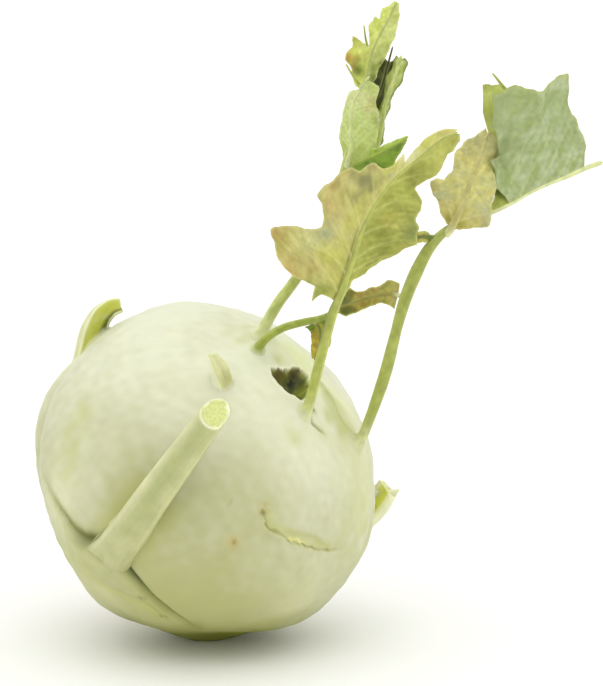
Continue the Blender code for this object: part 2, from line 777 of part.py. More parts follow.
BACK_UPPER_LEFT = [
    (0.8, 1.6, 2.1),
    (3.0, 4.4, 4.6),
    (4.5, 6.5, 5.3),
    (5.5, 7.3, 6.6),
    (7.0, 9.0, 6.4),
    (8.0, 10.7, 5.6),
    (9.0, 13.3, 7.0),
    (9.8, 12.6, 3.8),
    (11.0, 12.0, 1.8),
    (13.5, 14.7, 2.7),
    (15.0, 16.1, 3.7),
    (17.5, 20.0, 4.0),
    (18.5, 19.4, 2.5),
    (20.5, 22.2, 2.7),
    (22.0, 23.0, 1.0),
    (24.8, 25.2, 0.5),
]
BACK_UPPER_RIGHT = [
    (0.5, 0.9, 1.1),
    (3.0, 4.1, 2.2),
    (8.0, 9.5, 3.6),
    (12.0, 13.5, 3.7),
    (16.5, 18.0, 3.7),
    (21.0, 22.0, 2.3),
    (24.8, 25.2, 0.5),
]
BACK_ROLL_ROUTE = [
    (36.5, 2.0, 119.0),
    (41.0, 2.8, 123.0),
    (42.5, 4.0, 128.0),
    (43.5, 5.0, 134.0),
    (45.5, 5.5, 139.5),
    (47.5, 6.0, 146.0),
]
BACK_ROLL_LEFT = [
    (0.5, 0.9, 1.0),
    (5.5, 6.2, 2.7),
    (11.0, 12.1, 3.5),
    (15.5, 16.8, 5.0),
    (20.0, 20.8, 3.4),
    (23.2, 23.9, 1.0),
]
BACK_ROLL_RIGHT = [
    (0.5, 0.9, 1.0),
    (2.2, 2.7, 1.6),
    (7.0, 7.8, 0.9),
    (10.5, 11.1, 1.7),
    (14.5, 15.1, 1.4),
    (18.0, 18.6, 2.3),
    (22.0, 22.9, 2.2),
    (23.2, 23.9, 0.6),
]
BACK_INNER_ROUTE = [
    (36.0, 2.0, 130.0),
    (42.0, 8.0, 136.5),
    (44.0, 9.0, 142.5),
    (45.5, 9.5, 148.0),
]
BACK_INNER = [
    (1.0, 2.0, 1.8),
    (6.0, 7.0, 2.4),
    (11.0, 13.0, 3.0),
    (15.0, 17.5, 4.0),
    (19.0, 19.8, 1.2),
]
BACK_TONGUE_ROUTE = [
    (33.6, -0.4, 118.5),
    (38.5, -1.0, 121.0),
    (43.5, -2.5, 123.5),
    (49.0, -3.5, 127.0),
]
BACK_TONGUE_HIGH = [
    (1.0, 2.2, 1.4),
    (4.5, 5.5, 2.4),
    (9.0, 9.8, 1.5),
    (13.0, 13.8, 1.1),
    (16.8, 17.4, 0.4),
]
BACK_TONGUE_LOW = [
    (1.0, 1.5, 1.5),
    (3.5, 4.1, 3.0),
    (7.5, 8.1, 4.4),
    (10.0, 10.6, 4.6),
    (14.5, 15.8, 1.6),
    (16.8, 17.4, 0.4),
]
BACK_TONGUE_FACING = (-0.1, -0.95, 0.3)


def leaf_back():
    """The tall leaf at the back, crumpled into a pale front panel and rolled upper lobes."""
    panel_rib = smooth_route(BACK_PANEL_ROUTE)
    upper_rib = smooth_route(BACK_ROUTE[9:])
    roll_rib = smooth_route(BACK_ROLL_ROUTE[1:])
    inner_rib = smooth_route(BACK_INNER_ROUTE)
    tongue_rib = smooth_route(BACK_TONGUE_ROUTE)
    return [
        stalk("rib", BACK_ROUTE, BACK_RADII, BACK_FORWARD, sides=7),
        stalk("panel_rib", BACK_PANEL_ROUTE, [1.0, 0.9, 0.7, 0.6], BACK_FORWARD, sides=6),
        blade("panel_left", panel_rib, BACK_FORWARD, 1, -40, 0.0, BACK_PANEL_LEFT),
        blade(
            "panel_right", panel_rib, BACK_FORWARD, -1, -12, 0.0, BACK_PANEL_RIGHT, (0.3, 9.0, 0.0)
        ),
        blade(
            "upper_left", upper_rib, BACK_FORWARD, 1, -20, 1.0, BACK_UPPER_LEFT, (0.4, 7.0, 0.0)
        ),
        blade("upper_right", upper_rib, BACK_FORWARD, -1, -20, 0.0, BACK_UPPER_RIGHT),
        stalk("roll_rib", BACK_ROLL_ROUTE, [0.8, 0.7, 0.6], BACK_FORWARD, sides=6),
        blade("roll_left", roll_rib, BACK_FORWARD, 1, -60, 0.0, BACK_ROLL_LEFT),
        blade("roll_right", roll_rib, BACK_FORWARD, -1, -35, 0.0, BACK_ROLL_RIGHT),
        stalk("inner_rib", BACK_INNER_ROUTE, [0.8, 0.7, 0.6], BACK_FORWARD, sides=6),
        blade("inner_left", inner_rib, BACK_FORWARD, 1, -10, 0.0, BACK_INNER, columns=2),
        blade("inner_right", inner_rib, BACK_FORWARD, -1, -10, 0.0, BACK_INNER, columns=2),
        stalk("tongue_rib", BACK_TONGUE_ROUTE, [0.8, 0.7, 0.6], BACK_TONGUE_FACING, sides=6),
        blade(
            "tongue_high", tongue_rib, BACK_TONGUE_FACING, 1, 10, 0.0, BACK_TONGUE_HIGH, columns=2
        ),
        blade("tongue_low", tongue_rib, BACK_TONGUE_FACING, -1, 10, 0.0, BACK_TONGUE_LOW),
    ]


SMALL_ROUTE = [
    (12.1, -16.3, 76.0),
    (13.3, -20.4, 78.7),
    (15.8, -22.9, 81.4),
    (19.1, -23.1, 83.1),
    (23.5, -22.0, 84.1),
    (27.8, -20.3, 84.8),
    (32.2, -18.4, 86.7),
]
SMALL_RADII = [1.5, 1.15, 1.0, 0.95, 0.9, 0.8, 0.6]
SMALL_FORWARD = (0.0, -1.0, 0.1)
SMALL_BLADE_ROUTE = [
    (25.5, -21.5, 84.3),
    (27.0, -21.0, 83.0),
    (27.5, -21.0, 80.5),
    (27.0, -21.0, 77.5),
    (26.0, -21.0, 74.5),
]
SMALL_RIGHT = [
    (1.0, 1.5, 1.9),
    (2.3, 2.7, 2.3),
    (4.3, 4.8, 1.8),
    (7.0, 7.4, 1.8),
    (10.3, 10.8, 0.5),
]
SMALL_LEFT = [
    (0.6, -0.3, 2.5),
    (2.3, 2.9, 2.5),
    (3.3, 3.7, 2.6),
    (6.2, 6.7, 2.0),
    (8.5, 9.0, 1.6),
    (10.3, 10.8, 0.5),
]


def leaf_small():
    """The smallest leaf: a thin stalk lying over to the right, and a withered hanging blade."""
    blade_rib = smooth_route(SMALL_BLADE_ROUTE)
    return [
        stalk("rib", SMALL_ROUTE, SMALL_RADII, SMALL_FORWARD, sides=8, spacing=3.0),
        blade("right", blade_rib, SMALL_FORWARD, 1, -15, 0.0, SMALL_RIGHT, columns=2),
        blade("left", blade_rib, SMALL_FORWARD, -1, -15, 0.0, SMALL_LEFT, columns=2),
    ]


# ---------------------------------------------------------------- finish and assembly


def linear(hex_colour):
    """sRGB hex to linear RGBA."""
    values = [int(hex_colour[start : start + 2], 16) / 255 for start in (1, 3, 5)]
    return [v / 12.92 if v <= 0.04045 else ((v + 0.055) / 1.055) ** 2.4 for v in values] + [1.0]


def paint(thing, name, hex_colour, roughness):
    """Gives the object one non-metallic Principled material."""
    material = bpy.data.materials.new(name)
    material.use_nodes = True
    shader = material.node_tree.nodes["Principled BSDF"]
    shader.inputs["Base Color"].default_value = linear(hex_colour)
    shader.inputs["Roughness"].default_value = roughness
    shader.inputs["Metallic"].default_value = 0.0
    material.diffuse_color = linear(hex_colour)
    thing.data.materials.clear()
    thing.data.materials.append(material)


def build_bulb():
    """The bulb, sliced level at the table so that it has a flat to rest on."""
    bulb = bulb_mesh("bulb")
    low, high = -FLAT_SIZE, 0.0
    corners = [(x, y, z) for x in (low, -low) for y in (low, -low) for z in (low, high)]
    faces = [(0, 1, 3, 2), (4, 6, 7, 5), (0, 4, 5, 1), (2, 3, 7, 6), (0, 2, 6, 4), (1, 5, 7, 3)]
    table = make_object("table", corners, faces)
    apply_boolean(bulb, table, "DIFFERENCE")
    remove_object(table)
    return bulb


def build_kohlrabi():
    bulb = build_bulb()
    paint(bulb, "bulb_skin", "#d0d3a6", 0.5)
    clearance = bulb_mesh("clearance", GAP)
    outgrowths = [
        ("cut_stalk_front", cut_stalk_front, "#c8cb9c", 0.45),
        ("cut_stalk_left", cut_stalk_left, "#bbbf63", 0.5),
        ("cut_stalk_right", cut_stalk_right, "#bfc36c", 0.5),
        ("cut_stalk_crown", cut_stalk_crown, "#c3c681", 0.55),
        ("leaf_middle", leaf_middle, "#b5b465", 0.6),
        ("leaf_right", leaf_right, "#a5b287", 0.6),
        ("leaf_back", leaf_back, "#abba60", 0.55),
        ("leaf_small", leaf_small, "#a39f44", 0.6),
    ]
    for name, make, colour, roughness in outgrowths:
        body = join(name, make())
        apply_boolean(body, clearance, "DIFFERENCE")
        paint(body, name + "_tissue", colour, roughness)
    remove_object(clearance)
    for thing in bpy.context.scene.objects:
        thing.data.shade_smooth()
        thing.data.set_sharp_from_angle(angle=math.radians(SHARP_EDGE_ANGLE))


for existing in list(bpy.data.objects):
    remove_object(existing)
build_kohlrabi()
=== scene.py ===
"""A kohlrabi with its cut stalks and wilting young leaves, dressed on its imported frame.

Lengths are in millimetres and angles in degrees. make_piece turns them into metres.
"""

import math

import bpy
import numpy as np
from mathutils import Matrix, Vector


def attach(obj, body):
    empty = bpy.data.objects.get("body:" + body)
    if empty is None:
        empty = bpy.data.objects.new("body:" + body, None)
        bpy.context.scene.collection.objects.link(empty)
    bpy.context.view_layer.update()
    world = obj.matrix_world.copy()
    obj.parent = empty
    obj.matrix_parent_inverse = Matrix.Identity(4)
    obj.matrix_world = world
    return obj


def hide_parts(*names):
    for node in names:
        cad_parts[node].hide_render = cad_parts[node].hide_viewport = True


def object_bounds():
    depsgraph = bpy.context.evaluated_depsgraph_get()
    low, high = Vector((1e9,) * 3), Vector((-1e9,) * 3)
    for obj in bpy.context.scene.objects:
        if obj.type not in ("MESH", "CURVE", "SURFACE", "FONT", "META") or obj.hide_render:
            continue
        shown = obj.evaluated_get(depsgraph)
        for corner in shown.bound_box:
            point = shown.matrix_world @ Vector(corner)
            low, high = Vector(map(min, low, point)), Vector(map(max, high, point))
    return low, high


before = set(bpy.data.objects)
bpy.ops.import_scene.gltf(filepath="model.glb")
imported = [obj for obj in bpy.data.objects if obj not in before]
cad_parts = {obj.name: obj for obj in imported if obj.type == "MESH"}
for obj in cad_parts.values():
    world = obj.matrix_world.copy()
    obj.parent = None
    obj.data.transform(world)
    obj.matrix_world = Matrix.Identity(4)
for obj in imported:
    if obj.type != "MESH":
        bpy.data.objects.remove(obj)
CAD_BOX = [list(corner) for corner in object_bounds()]


# ---------------------------------------------------------------- camera
# A long lens, a little above the middle of the bulb and square to its front. It stands far back,
# so the near and far leaves are seen at almost the same scale.

CAMERA_DISTANCE = 800.0
CAMERA_ELEVATION = 10.0
CAMERA_AIM = np.array([22.9, 5.7, 74.1])
LENS = 167.9
MM = 0.001


def place_camera():
    """Stands back from the aim point by the distance, along a line that rises by the elevation."""
    rise = math.radians(CAMERA_ELEVATION)
    back = np.array([0.0, -math.cos(rise), math.sin(rise)])
    camera = bpy.data.objects.new("camera", bpy.data.cameras.new("camera"))
    camera.data.lens = LENS
    camera.location = (CAMERA_AIM + CAMERA_DISTANCE * back) * MM
    camera.rotation_euler = (math.pi / 2 - rise, 0.0, 0.0)
    bpy.context.scene.collection.objects.link(camera)
    bpy.context.scene.camera = camera


place_camera()


# ---------------------------------------------------------------- bulb
# The swollen stem: crisp white flesh in a thin pale green skin with a waxy bloom. Every leaf
# stands on a ridge that runs part of the way round, with a crease above it, and the crown ends
# in a torn pit. It is one ball-like surface whose radius is worked out for each direction.

BULB_CENTRE = np.array([0.0, 0.0, 41.6])
EQUATOR_RADIUS = 43.1
POLE_RADIUS = 39.6
MEAN_RADIUS = 42.0
CROWN = np.array([0.530, -0.522, 0.668])
FIRST_LEAF = np.array([-0.496, -0.830, -0.255])
BULB_RINGS = 300
BULB_SIDES = 300
ROOT_CUT_DEPTH = 1.3
ROOT_CUT_ANGLE = 168.0

# Leaf bases that only leave a scar: degrees down from the crown and round it, half width, sag to
# the west and to the east, then in millimetres the depth of the crease, the height of the ridge
# below it and the height of the swelling above it.
LEAF_BASES = [
    (92.0, -81.0, 24.0, 0.60, 0.95, 0.7, 0.9, 0.3),
    (64.0, 117.0, 15.0, 0.40, 0.40, 0.25, 0.4, 0.2),
    (66.0, -165.0, 15.0, 0.30, 0.30, 1.0, 0.9, 0.4),
    (104.0, -138.0, 26.0, 0.50, 0.50, 1.0, 0.9, 0.5),
    (112.0, 85.0, 15.0, 0.50, 0.50, 0.6, 0.5, 0.3),
    (124.0, -50.0, 22.0, 0.50, 0.50, 0.5, 0.3, 0.0),
    (130.0, 172.0, 22.0, 0.50, 0.50, 0.7, 0.6, 0.3),
]
# Swellings and hollows: degrees down, degrees round, height, radius.
SWELLINGS = [
    (11.0, 54.0, 1.8, 5.0),
    (31.0, 113.0, 1.6, 6.0),
    (23.0, -116.0, 1.8, 5.0),
    (18.0, -92.0, 1.4, 4.0),
    (28.0, -48.0, 1.2, 5.0),
    (107.0, -68.0, 2.0, 13.0),
    (40.0, -178.0, -1.8, 18.0),
    (56.0, 128.0, -1.4, 12.0),
    (128.0, -38.0, -0.6, 12.0),
    (66.0, -106.0, 1.8, 18.0),
    (114.6, 57.0, -2.8, 12.0),
    (128.0, 39.0, -0.9, 7.0),
    (135.0, 7.0, 0.8, 7.0),
    (131.6, 69.5, 1.9, 10.3),
    (88.0, -8.0, 1.0, 8.0),
    (113.0, 78.0, -1.6, 9.0),
]
# Lines on the skin, each a list of (down, turn).
FRONT_CREASE = [
    (103.8, -46.0), (104.4, -38.8), (105.1, -32.9), (104.7, -26.8), (102.1, -19.7), (99.2, -13.8),
    (96.7, -9.8), (93.9, -7.3), (93.1, -1.7), (90.6, 3.7), (91.4, 7.2), (92.4, 11.1), (94.2, 16.1),
    (95.5, 21.5), (97.2, 27.7), (98.5, 33.1), (101.1, 38.4), (104.0, 44.0),
]
FRONT_HEM = [
    (103.3, -32.0), (103.3, -21.5), (104.1, -11.4), (108.4, -4.0), (108.1, 3.8), (103.8, 9.5),
    (100.5, 14.3), (98.6, 18.2), (99.3, 22.9), (101.4, 28.2), (105.5, 34.0),
]
# Painted shade in the two dark corners beside the thick stalk's foot: (down, turn), radius.
FRONT_CORNERS = [((94.6, -8.4), 5.0), ((91.6, 8.0), 4.5)]
HEM_MARKS = [[(99.0, 14.0), (97.5, 15.7), (96.8, 17.3)], [(101.9, 24.7), (100.4, 25.8), (99.5, 26.8)]]
# The thick stalk's line over the skin, with painted shadow on the skin to both sides of it: (down, turn).
FRONT_STALK_SHADOW_LINE = [(96.4, -1.0), (88.0, -1.5), (78.0, -2.0), (66.0, -3.0), (58.0, -4.0)]
SCAR = [
    (46.7, 33.4), (48.5, 34.2), (50.7, 36.7), (52.1, 37.8), (53.2, 40.3), (53.7, 44.5), (54.7, 48.5),
    (55.3, 51.7), (56.2, 56.2), (57.7, 61.8), (58.8, 67.3), (60.4, 74.4), (61.7, 81.6),
]
SCAR_LIP = [(51.6, 43.6), (52.2, 49.0), (52.9, 54.5), (54.1, 63.1), (57.7, 70.2), (61.0, 78.0)]
SCAR_NOTCH = (49.0, 34.0)
CROWN_LEDGE = [
    (16.0, 170.0), (18.0, 157.1), (19.3, 144.7), (20.4, 129.8), (23.3, 117.7), (28.4, 114.4), (32.6, 112.2),
]
CROWN_FOLD = [(8.5, 84.0), (11.5, 70.0), (14.3, 66.0), (16.8, 76.0), (21.5, 88.0)]
SCRATCH = [(54.1, 19.9), (51.7, 19.5), (49.3, 19.5)]
# The pit's rim: degrees round the crown, degrees down.
PIT_RIM = [
    (-180.0, 12.6), (-163.0, 12.4), (-136.0, 8.4), (-107.0, 7.8), (-79.0, 10.2), (-60.0, 8.2),
    (-28.0, 5.4), (3.0, 5.0), (33.0, 4.8), (52.0, 6.6), (85.0, 5.8), (118.0, 6.4), (150.0, 7.8),
    (180.0, 12.6),
]
PIT_DEPTH = 4.4
# The section that leaf bases share, in millimetres southwards from the crease: the crease's long
# slope and its steep one, where the ridge starts and stands full, and how wide it is. The sag is
# rounded within SAG_KNEE of the leaf's middle.
CREASE_SLOPE = 2.6
CREASE_STEEP = 0.45
RIDGE_START = -0.2
RIDGE_FULL = 1.1
RIDGE_WIDTH = 4.5
SWELLING_PLACE = -9.0
SWELLING_WIDTH = 7.0
SAG_KNEE = 10.0
RELIEF_REACH = 60.0


def unit(vector):
    """Vectors divided by their own lengths."""
    vector = np.asarray(vector, float)
    return vector / np.linalg.norm(vector, axis=-1, keepdims=True)


CROWN = unit(CROWN)
ROUND_X = unit(FIRST_LEAF - (FIRST_LEAF @ CROWN) * CROWN)
ROUND_Y = np.cross(CROWN, ROUND_X)


def direction(down, turn):
    """Unit vector `down` degrees from the crown, turned by `turn` degrees from the first leaf."""
    down = np.radians(np.asarray(down, float))[..., None]
    turn = np.radians(np.asarray(turn, float))[..., None]
    return np.cos(down) * CROWN + np.sin(down) * (np.cos(turn) * ROUND_X + np.sin(turn) * ROUND_Y)


def offsets_from(directions, down, turn):
    """Millimetres along the skin from a site: east round the crown, and south to the root.

    The angle to the site times the mean radius, split along the site's east and south."""
    site = direction(down, turn)
    east = direction(90.0, turn + 90.0)
    south = direction(down + 90.0, turn)
    angle = np.arccos(np.clip(directions @ site, -1, 1))
    stretch = MEAN_RADIUS * angle / np.maximum(np.sin(angle), 1e-6)
    return stretch * (directions @ east), stretch * (directions @ south)


def smooth_route(points, count=160):
    """Catmull-Rom curve through the points: each stretch is the cubic that its neighbours set."""
    points = np.asarray(points, float)
    points = np.vstack([2 * points[0] - points[1], points, 2 * points[-1] - points[-2]])
    place = np.linspace(0, len(points) - 3, count)
    index = np.minimum(place.astype(int), len(points) - 4)
    part = (place - index)[:, None]
    a, b, c, d = (points[index + step] for step in range(4))
    square = (2 * a - 5 * b + 4 * c - d) * part**2
    cube = (3 * b - 3 * c + d - a) * part**3
    return 0.5 * (2 * b + (c - a) * part + square + cube)


def skin_line(directions, waypoints):
    """(millimetres across, share along) of a smooth line over the skin; south or right is positive.

    The nearest of the line's samples gives the distance, and the side of it gives the sign."""
    down, turn = np.array(waypoints, float).T
    route = unit(smooth_route(direction(down, turn)))
    nearest = np.argmax(directions @ route.T, axis=1)
    heading = unit(np.gradient(route, axis=0))[nearest]
    right = np.cross(heading, route[nearest])
    gap = directions - route[nearest]
    distance = MEAN_RADIUS * np.linalg.norm(gap, axis=1)
    side = np.sign(np.einsum("ij,ij->i", gap, right))
    return distance * side, nearest / (len(route) - 1)


def bell(distance, width):
    """Smooth hump: 1 at zero, falling as exp(-(distance / width) squared)."""
    return np.exp(-((distance / width) ** 2))


def near_site(directions, down, turn, size):
    """1 at a site on the skin, falling as a bell of `size` mm round it."""
    return bell(np.hypot(*offsets_from(directions, down, turn)), size)


def ease(value, low, high):
    """Smoothstep: 0 below `low`, 1 above `high`, and 3t^2 - 2t^3 between."""
    part = np.clip((value - low) / (high - low), 0, 1)
    return part * part * (3 - 2 * part)


def ends(share, fade=0.12):
    """1 along a line's middle, easing to 0 at both its ends."""
    return ease(share, 0, fade) * ease(1 - share, 0, fade)


def waves(points, size, seed, count=22):
    """Smooth noise about 1 high: cosine waves near `size` mm long, seeded in heading and phase."""
    chance = np.random.default_rng(seed)
    pull = unit(chance.normal(size=(count, 3))) * 2 * math.pi / size
    pull *= chance.uniform(0.6, 1.5, (count, 1))
    phase = chance.uniform(0, 2 * math.pi, count)
    total = np.zeros(points.shape[:-1])
    for each, start in zip(pull, phase):
        total += np.cos(points @ each + start)
    return total * math.sqrt(2 / count)


def long_slope(across, width):
    """The long side of a crease: 1 at its line, falling as exp(-(distance / width) to the 1.2)."""
    return np.exp(-((np.abs(across) / width) ** 1.2))


def step_profile(across, groove, ridge):
    """A leaf base seen end on: the skin sinks to a sharp crease, then a rounded ridge stands up."""
    sunk = -groove * np.where(across < 0, long_slope(across, CREASE_SLOPE), bell(across, CREASE_STEEP))
    past = np.maximum(across - RIDGE_FULL, 0)
    return sunk + ridge * ease(across, RIDGE_START, RIDGE_FULL) * bell(past, RIDGE_WIDTH)


def leaf_base_relief(directions, base):
    """step_profile carried round the bulb, sagging and fading to both sides of the leaf."""
    down, turn, width, sag_west, sag_east, groove, ridge, rise = base
    east, south = offsets_from(directions, down, turn)
    sag = np.where(east < 0, sag_west, sag_east) * (np.hypot(east, SAG_KNEE) - SAG_KNEE)
    below = south - sag
    fade = np.exp(-((east / width) ** 4)) * (np.hypot(east, south) < RELIEF_REACH)
    swelling = rise * bell(below - SWELLING_PLACE, SWELLING_WIDTH)
    return fade * (step_profile(below, groove, ridge) + swelling)


def pit_reach(directions):
    """How far out each direction lies from the crown's middle, in shares of the pit's ragged rim."""
    down = np.degrees(np.arccos(np.clip(directions @ CROWN, -1, 1)))
    turn = np.degrees(np.arctan2(directions @ ROUND_Y, directions @ ROUND_X))
    rim_turn, rim_down = np.array(PIT_RIM).T
    ragged = 1 + 0.02 * waves(directions * MEAN_RADIUS, 2.6, 5)
    return down / (np.interp(turn, rim_turn, rim_down) * ragged)


def pit_share(directions):
    """How deep the pit is, 0 outside its rim and 1 in the middle: a bowl with a crisp edge."""
    return 1 - np.clip(pit_reach(directions), 0, 1) ** 3


def bulb_radius(directions):
    """Distance from the bulb's middle to its skin: a flattened ball, plus every relief on it."""
    along = np.clip(directions @ CROWN, -1, 1)
    down = np.degrees(np.arccos(along))
    across = np.sqrt(1 - along**2)
    radius = 1 / np.sqrt((across / EQUATOR_RADIUS) ** 2 + (along / POLE_RADIUS) ** 2)
    for base in LEAF_BASES:
        radius += leaf_base_relief(directions, base)
    for site_down, turn, height, size in SWELLINGS:
        radius += height * near_site(directions, site_down, turn, size)
    radius += front_base_relief(directions) + crown_relief(directions) + scar_relief(directions)
    skin = directions * MEAN_RADIUS
    away = 1 - bell(down - 180.0, 14.0)
    radius += 0.22 * waves(skin, 24.0, 1) + 0.05 * waves(skin, 5.0, 2) * away
    root_plane = (POLE_RADIUS - ROOT_CUT_DEPTH) / np.maximum(-along, 0.5)
    root_plane = root_plane + 0.12 * waves(skin, 1.6, 3) + 0.25 * bell(down - 180.0, 4.0)
    return np.where(down > ROOT_CUT_ANGLE, np.minimum(radius, root_plane), radius)


def front_base_relief(directions):
    """The oldest leaf's base: a crisp crease, then a plateau that fans out from the stalk's foot.

    West of the stalk the skin above sinks to the crease; east of it the skin below does. The
    plateau runs from the crease to the hem, where a faint step ends it."""
    across, share = skin_line(directions, FRONT_CREASE)
    east = ease(share, 0.48, 0.60)
    west_sunk = 1.1 * np.where(across < 0, long_slope(across, CREASE_SLOPE), bell(across, CREASE_STEEP))
    east_sunk = 0.9 * np.where(across < 0, bell(across, 0.40), long_slope(across, 1.6))
    past = np.maximum(across - RIDGE_FULL, 0)
    band = ease(across, RIDGE_START, RIDGE_FULL + 1.5 * east) * bell(past, 5.0)
    crease = (band - (1 - east) * west_sunk - east * east_sunk) * ends(share, 0.25)
    hem, hem_share = skin_line(directions, FRONT_HEM)
    step = -0.25 * ease(hem, -0.5, 0.4) * bell(np.maximum(hem - 0.4, 0), 4.0) - 0.10 * bell(hem, 0.3)
    at_stalk = near_site(directions, 100.0, -2.0, 9.0)
    plateau = 2.0 * at_stalk * ease(across, RIDGE_START, 1.3) * (1 - ease(hem, -2.5, 1.5))
    return crease + plateau + step * ends(hem_share, 0.2)


def crown_relief(directions):
    """The torn pit, its raised lip, and the ledge and fold that run from it to the young stalks."""
    inside = pit_share(directions)
    sunk = directions * (MEAN_RADIUS - PIT_DEPTH * inside)[:, None]
    lumps = 0.09 * waves(sunk, 2.4, 7) * ease(inside, 0.1, 0.6)
    lip = 0.45 * bell(pit_reach(directions) - 1.05, 0.09)
    ledge, share = skin_line(directions, CROWN_LEDGE)
    shelf = ends(share, 0.3) * (0.22 * bell(ledge, 1.2) - 0.35 * bell(ledge - 2.6, 2.4))
    fold, fold_share = skin_line(directions, CROWN_FOLD)
    tuck = -0.6 * ends(fold_share, 0.25) * bell(fold, 0.6)
    return lip + (shelf + tuck) * (1 - inside) - PIT_DEPTH * inside + lumps


def scar_relief(directions):
    """A healed leaf scar: a fine wandering crack with a low lip, and a fainter fold above it."""
    skin = directions * MEAN_RADIUS
    across, share = skin_line(directions, SCAR)
    across = across + 0.18 * waves(skin, 2.2, 23)
    crack = ends(share, 0.12) * (0.22 * bell(across - 0.7, 0.6) - 0.40 * bell(across, 0.28))
    lip, lip_share = skin_line(directions, SCAR_LIP)
    fold = ends(lip_share, 0.3) * (0.12 * bell(lip + 1.0, 1.2) - 0.14 * bell(lip, 0.7))
    return crack + fold - 0.7 * near_site(directions, *SCAR_NOTCH, 0.7)


def linear(hex_colour):
    """sRGB hex to linear: below 0.04045 a straight line, above it the 2.4 power curve."""
    value = np.array([int(hex_colour[start : start + 2], 16) for start in (1, 3, 5)]) / 255
    return np.where(value <= 0.04045, value / 12.92, ((value + 0.055) / 1.055) ** 2.4)


def washed(colours, hex_colour, share):
    """Each colour moved towards one colour by its share, 0 to 1."""
    share = np.clip(share, 0, 1)[..., None]
    return colours * (1 - share) + linear(hex_colour) * share


BLOOM = "#d4d6bc"
SKIN_GREEN = "#b0b184"
SKIN_YELLOW = "#b4b865"
# Painted shade: olive in the front crease and along the hem's step.
CREASE_AND_STEP_SHADE = "#84893c"
# Painted shadow on the skin beside the thick stalk.
STALK_SIDE_SHADOW = "#a5a955"
# Lower skin: partly its own greener tone, partly painted shade, darkest underneath.
LOW_SKIN_AND_SHADE = "#aeaf74"
UNDER_SKIN_AND_SHADE = "#82861a"
# Painted shade, near black, in the corners and east part of the front crease.
AXIL_SHADOW = "#3d4512"
# Pit: the torn tissue's olive, darkened by painted shade towards its floor.
PIT_WALL_AND_SHADE = "#646522"
PIT_FLOOR_SHADE = "#2c3812"
CORK = "#b09a6a"
RUST = "#856426"
# Painted light and shade on the skin, with some of its own colour: paler glows that light up parts
# the lamps leave dim, dark smudges of painted shade on the facets by the crown's ledge and pit,
# and yellow-green patches of the skin's own: down, turn, radius, colour, share.
SKIN_LIGHT_AND_SHADE_PATCHES = [
    (116.4, 6.0, 7.0, "#e2e2b0", 0.60),
    (101.0, -28.0, 8.0, "#e4e4bc", 0.45),
    (80.0, 66.0, 9.0, "#e2e2b8", 0.50),
    (98.0, 60.0, 7.0, "#c9ca70", 0.50),
    (22.0, -156.0, 8.0, "#d2da8c", 0.60),
    (13.0, 170.0, 5.0, "#dbe19c", 0.55),
    (24.0, 145.0, 7.0, "#dde2a4", 0.55),
    (37.0, 112.0, 9.0, "#cccf8e", 0.45),
    (52.0, 100.0, 9.0, "#c6c98c", 0.50),
    (12.0, -114.0, 1.8, "#b0b760", 0.60),
    (18.3, 163.0, 1.4, "#9aa04c", 0.60),
    (18.8, 152.0, 2.0, "#a9ac60", 0.60),
    (20.5, 141.0, 2.4, "#b0b36a", 0.50),
    (22.5, 130.0, 2.6, "#b4b770", 0.50),
    (26.0, 119.0, 2.6, "#b8bb78", 0.40),
    (35.0, -134.0, 1.6, "#9aa44c", 0.60),
    (25.3, -119.0, 1.2, "#a4ac58", 0.50),
]
# Where the bloom is rubbed off and the yellow shows: down, turn, radius, share.
SKIN_WASHES = [
    (77.0, -47.8, 3.5, 0.35),
    (82.8, -39.3, 4.5, 0.38),
    (89.3, -32.0, 4.5, 0.38),
    (120.0, -10.0, 12.0, 0.45),
    (112.0, 20.0, 10.0, 0.35),
    (21.0, 39.0, 2.6, 0.45),
    (21.0, 112.0, 6.0, 0.40),
    (16.0, 75.0, 4.0, 0.30),
    (25.0, -108.0, 6.0, 0.45),
    (60.0, 96.0, 10.0, 0.35),
    (86.0, 12.0, 6.0, 0.30),
]
# Marks near the crown: down, turn, radius, colour. The first four lie in the pit, and the near-black one
# among them is a painted shadow.
CROWN_MARKS = [
    (7.3, -103.3, 2.4, "#6a5e28"),
    (11.5, -157.0, 1.8, "#665c26"),
    (7.0, 146.7, 2.0, "#8b9836"),
    (8.6, -163.1, 1.7, "#161d08"),
    (10.5, 84.5, 0.9, "#5f6a20"),
]


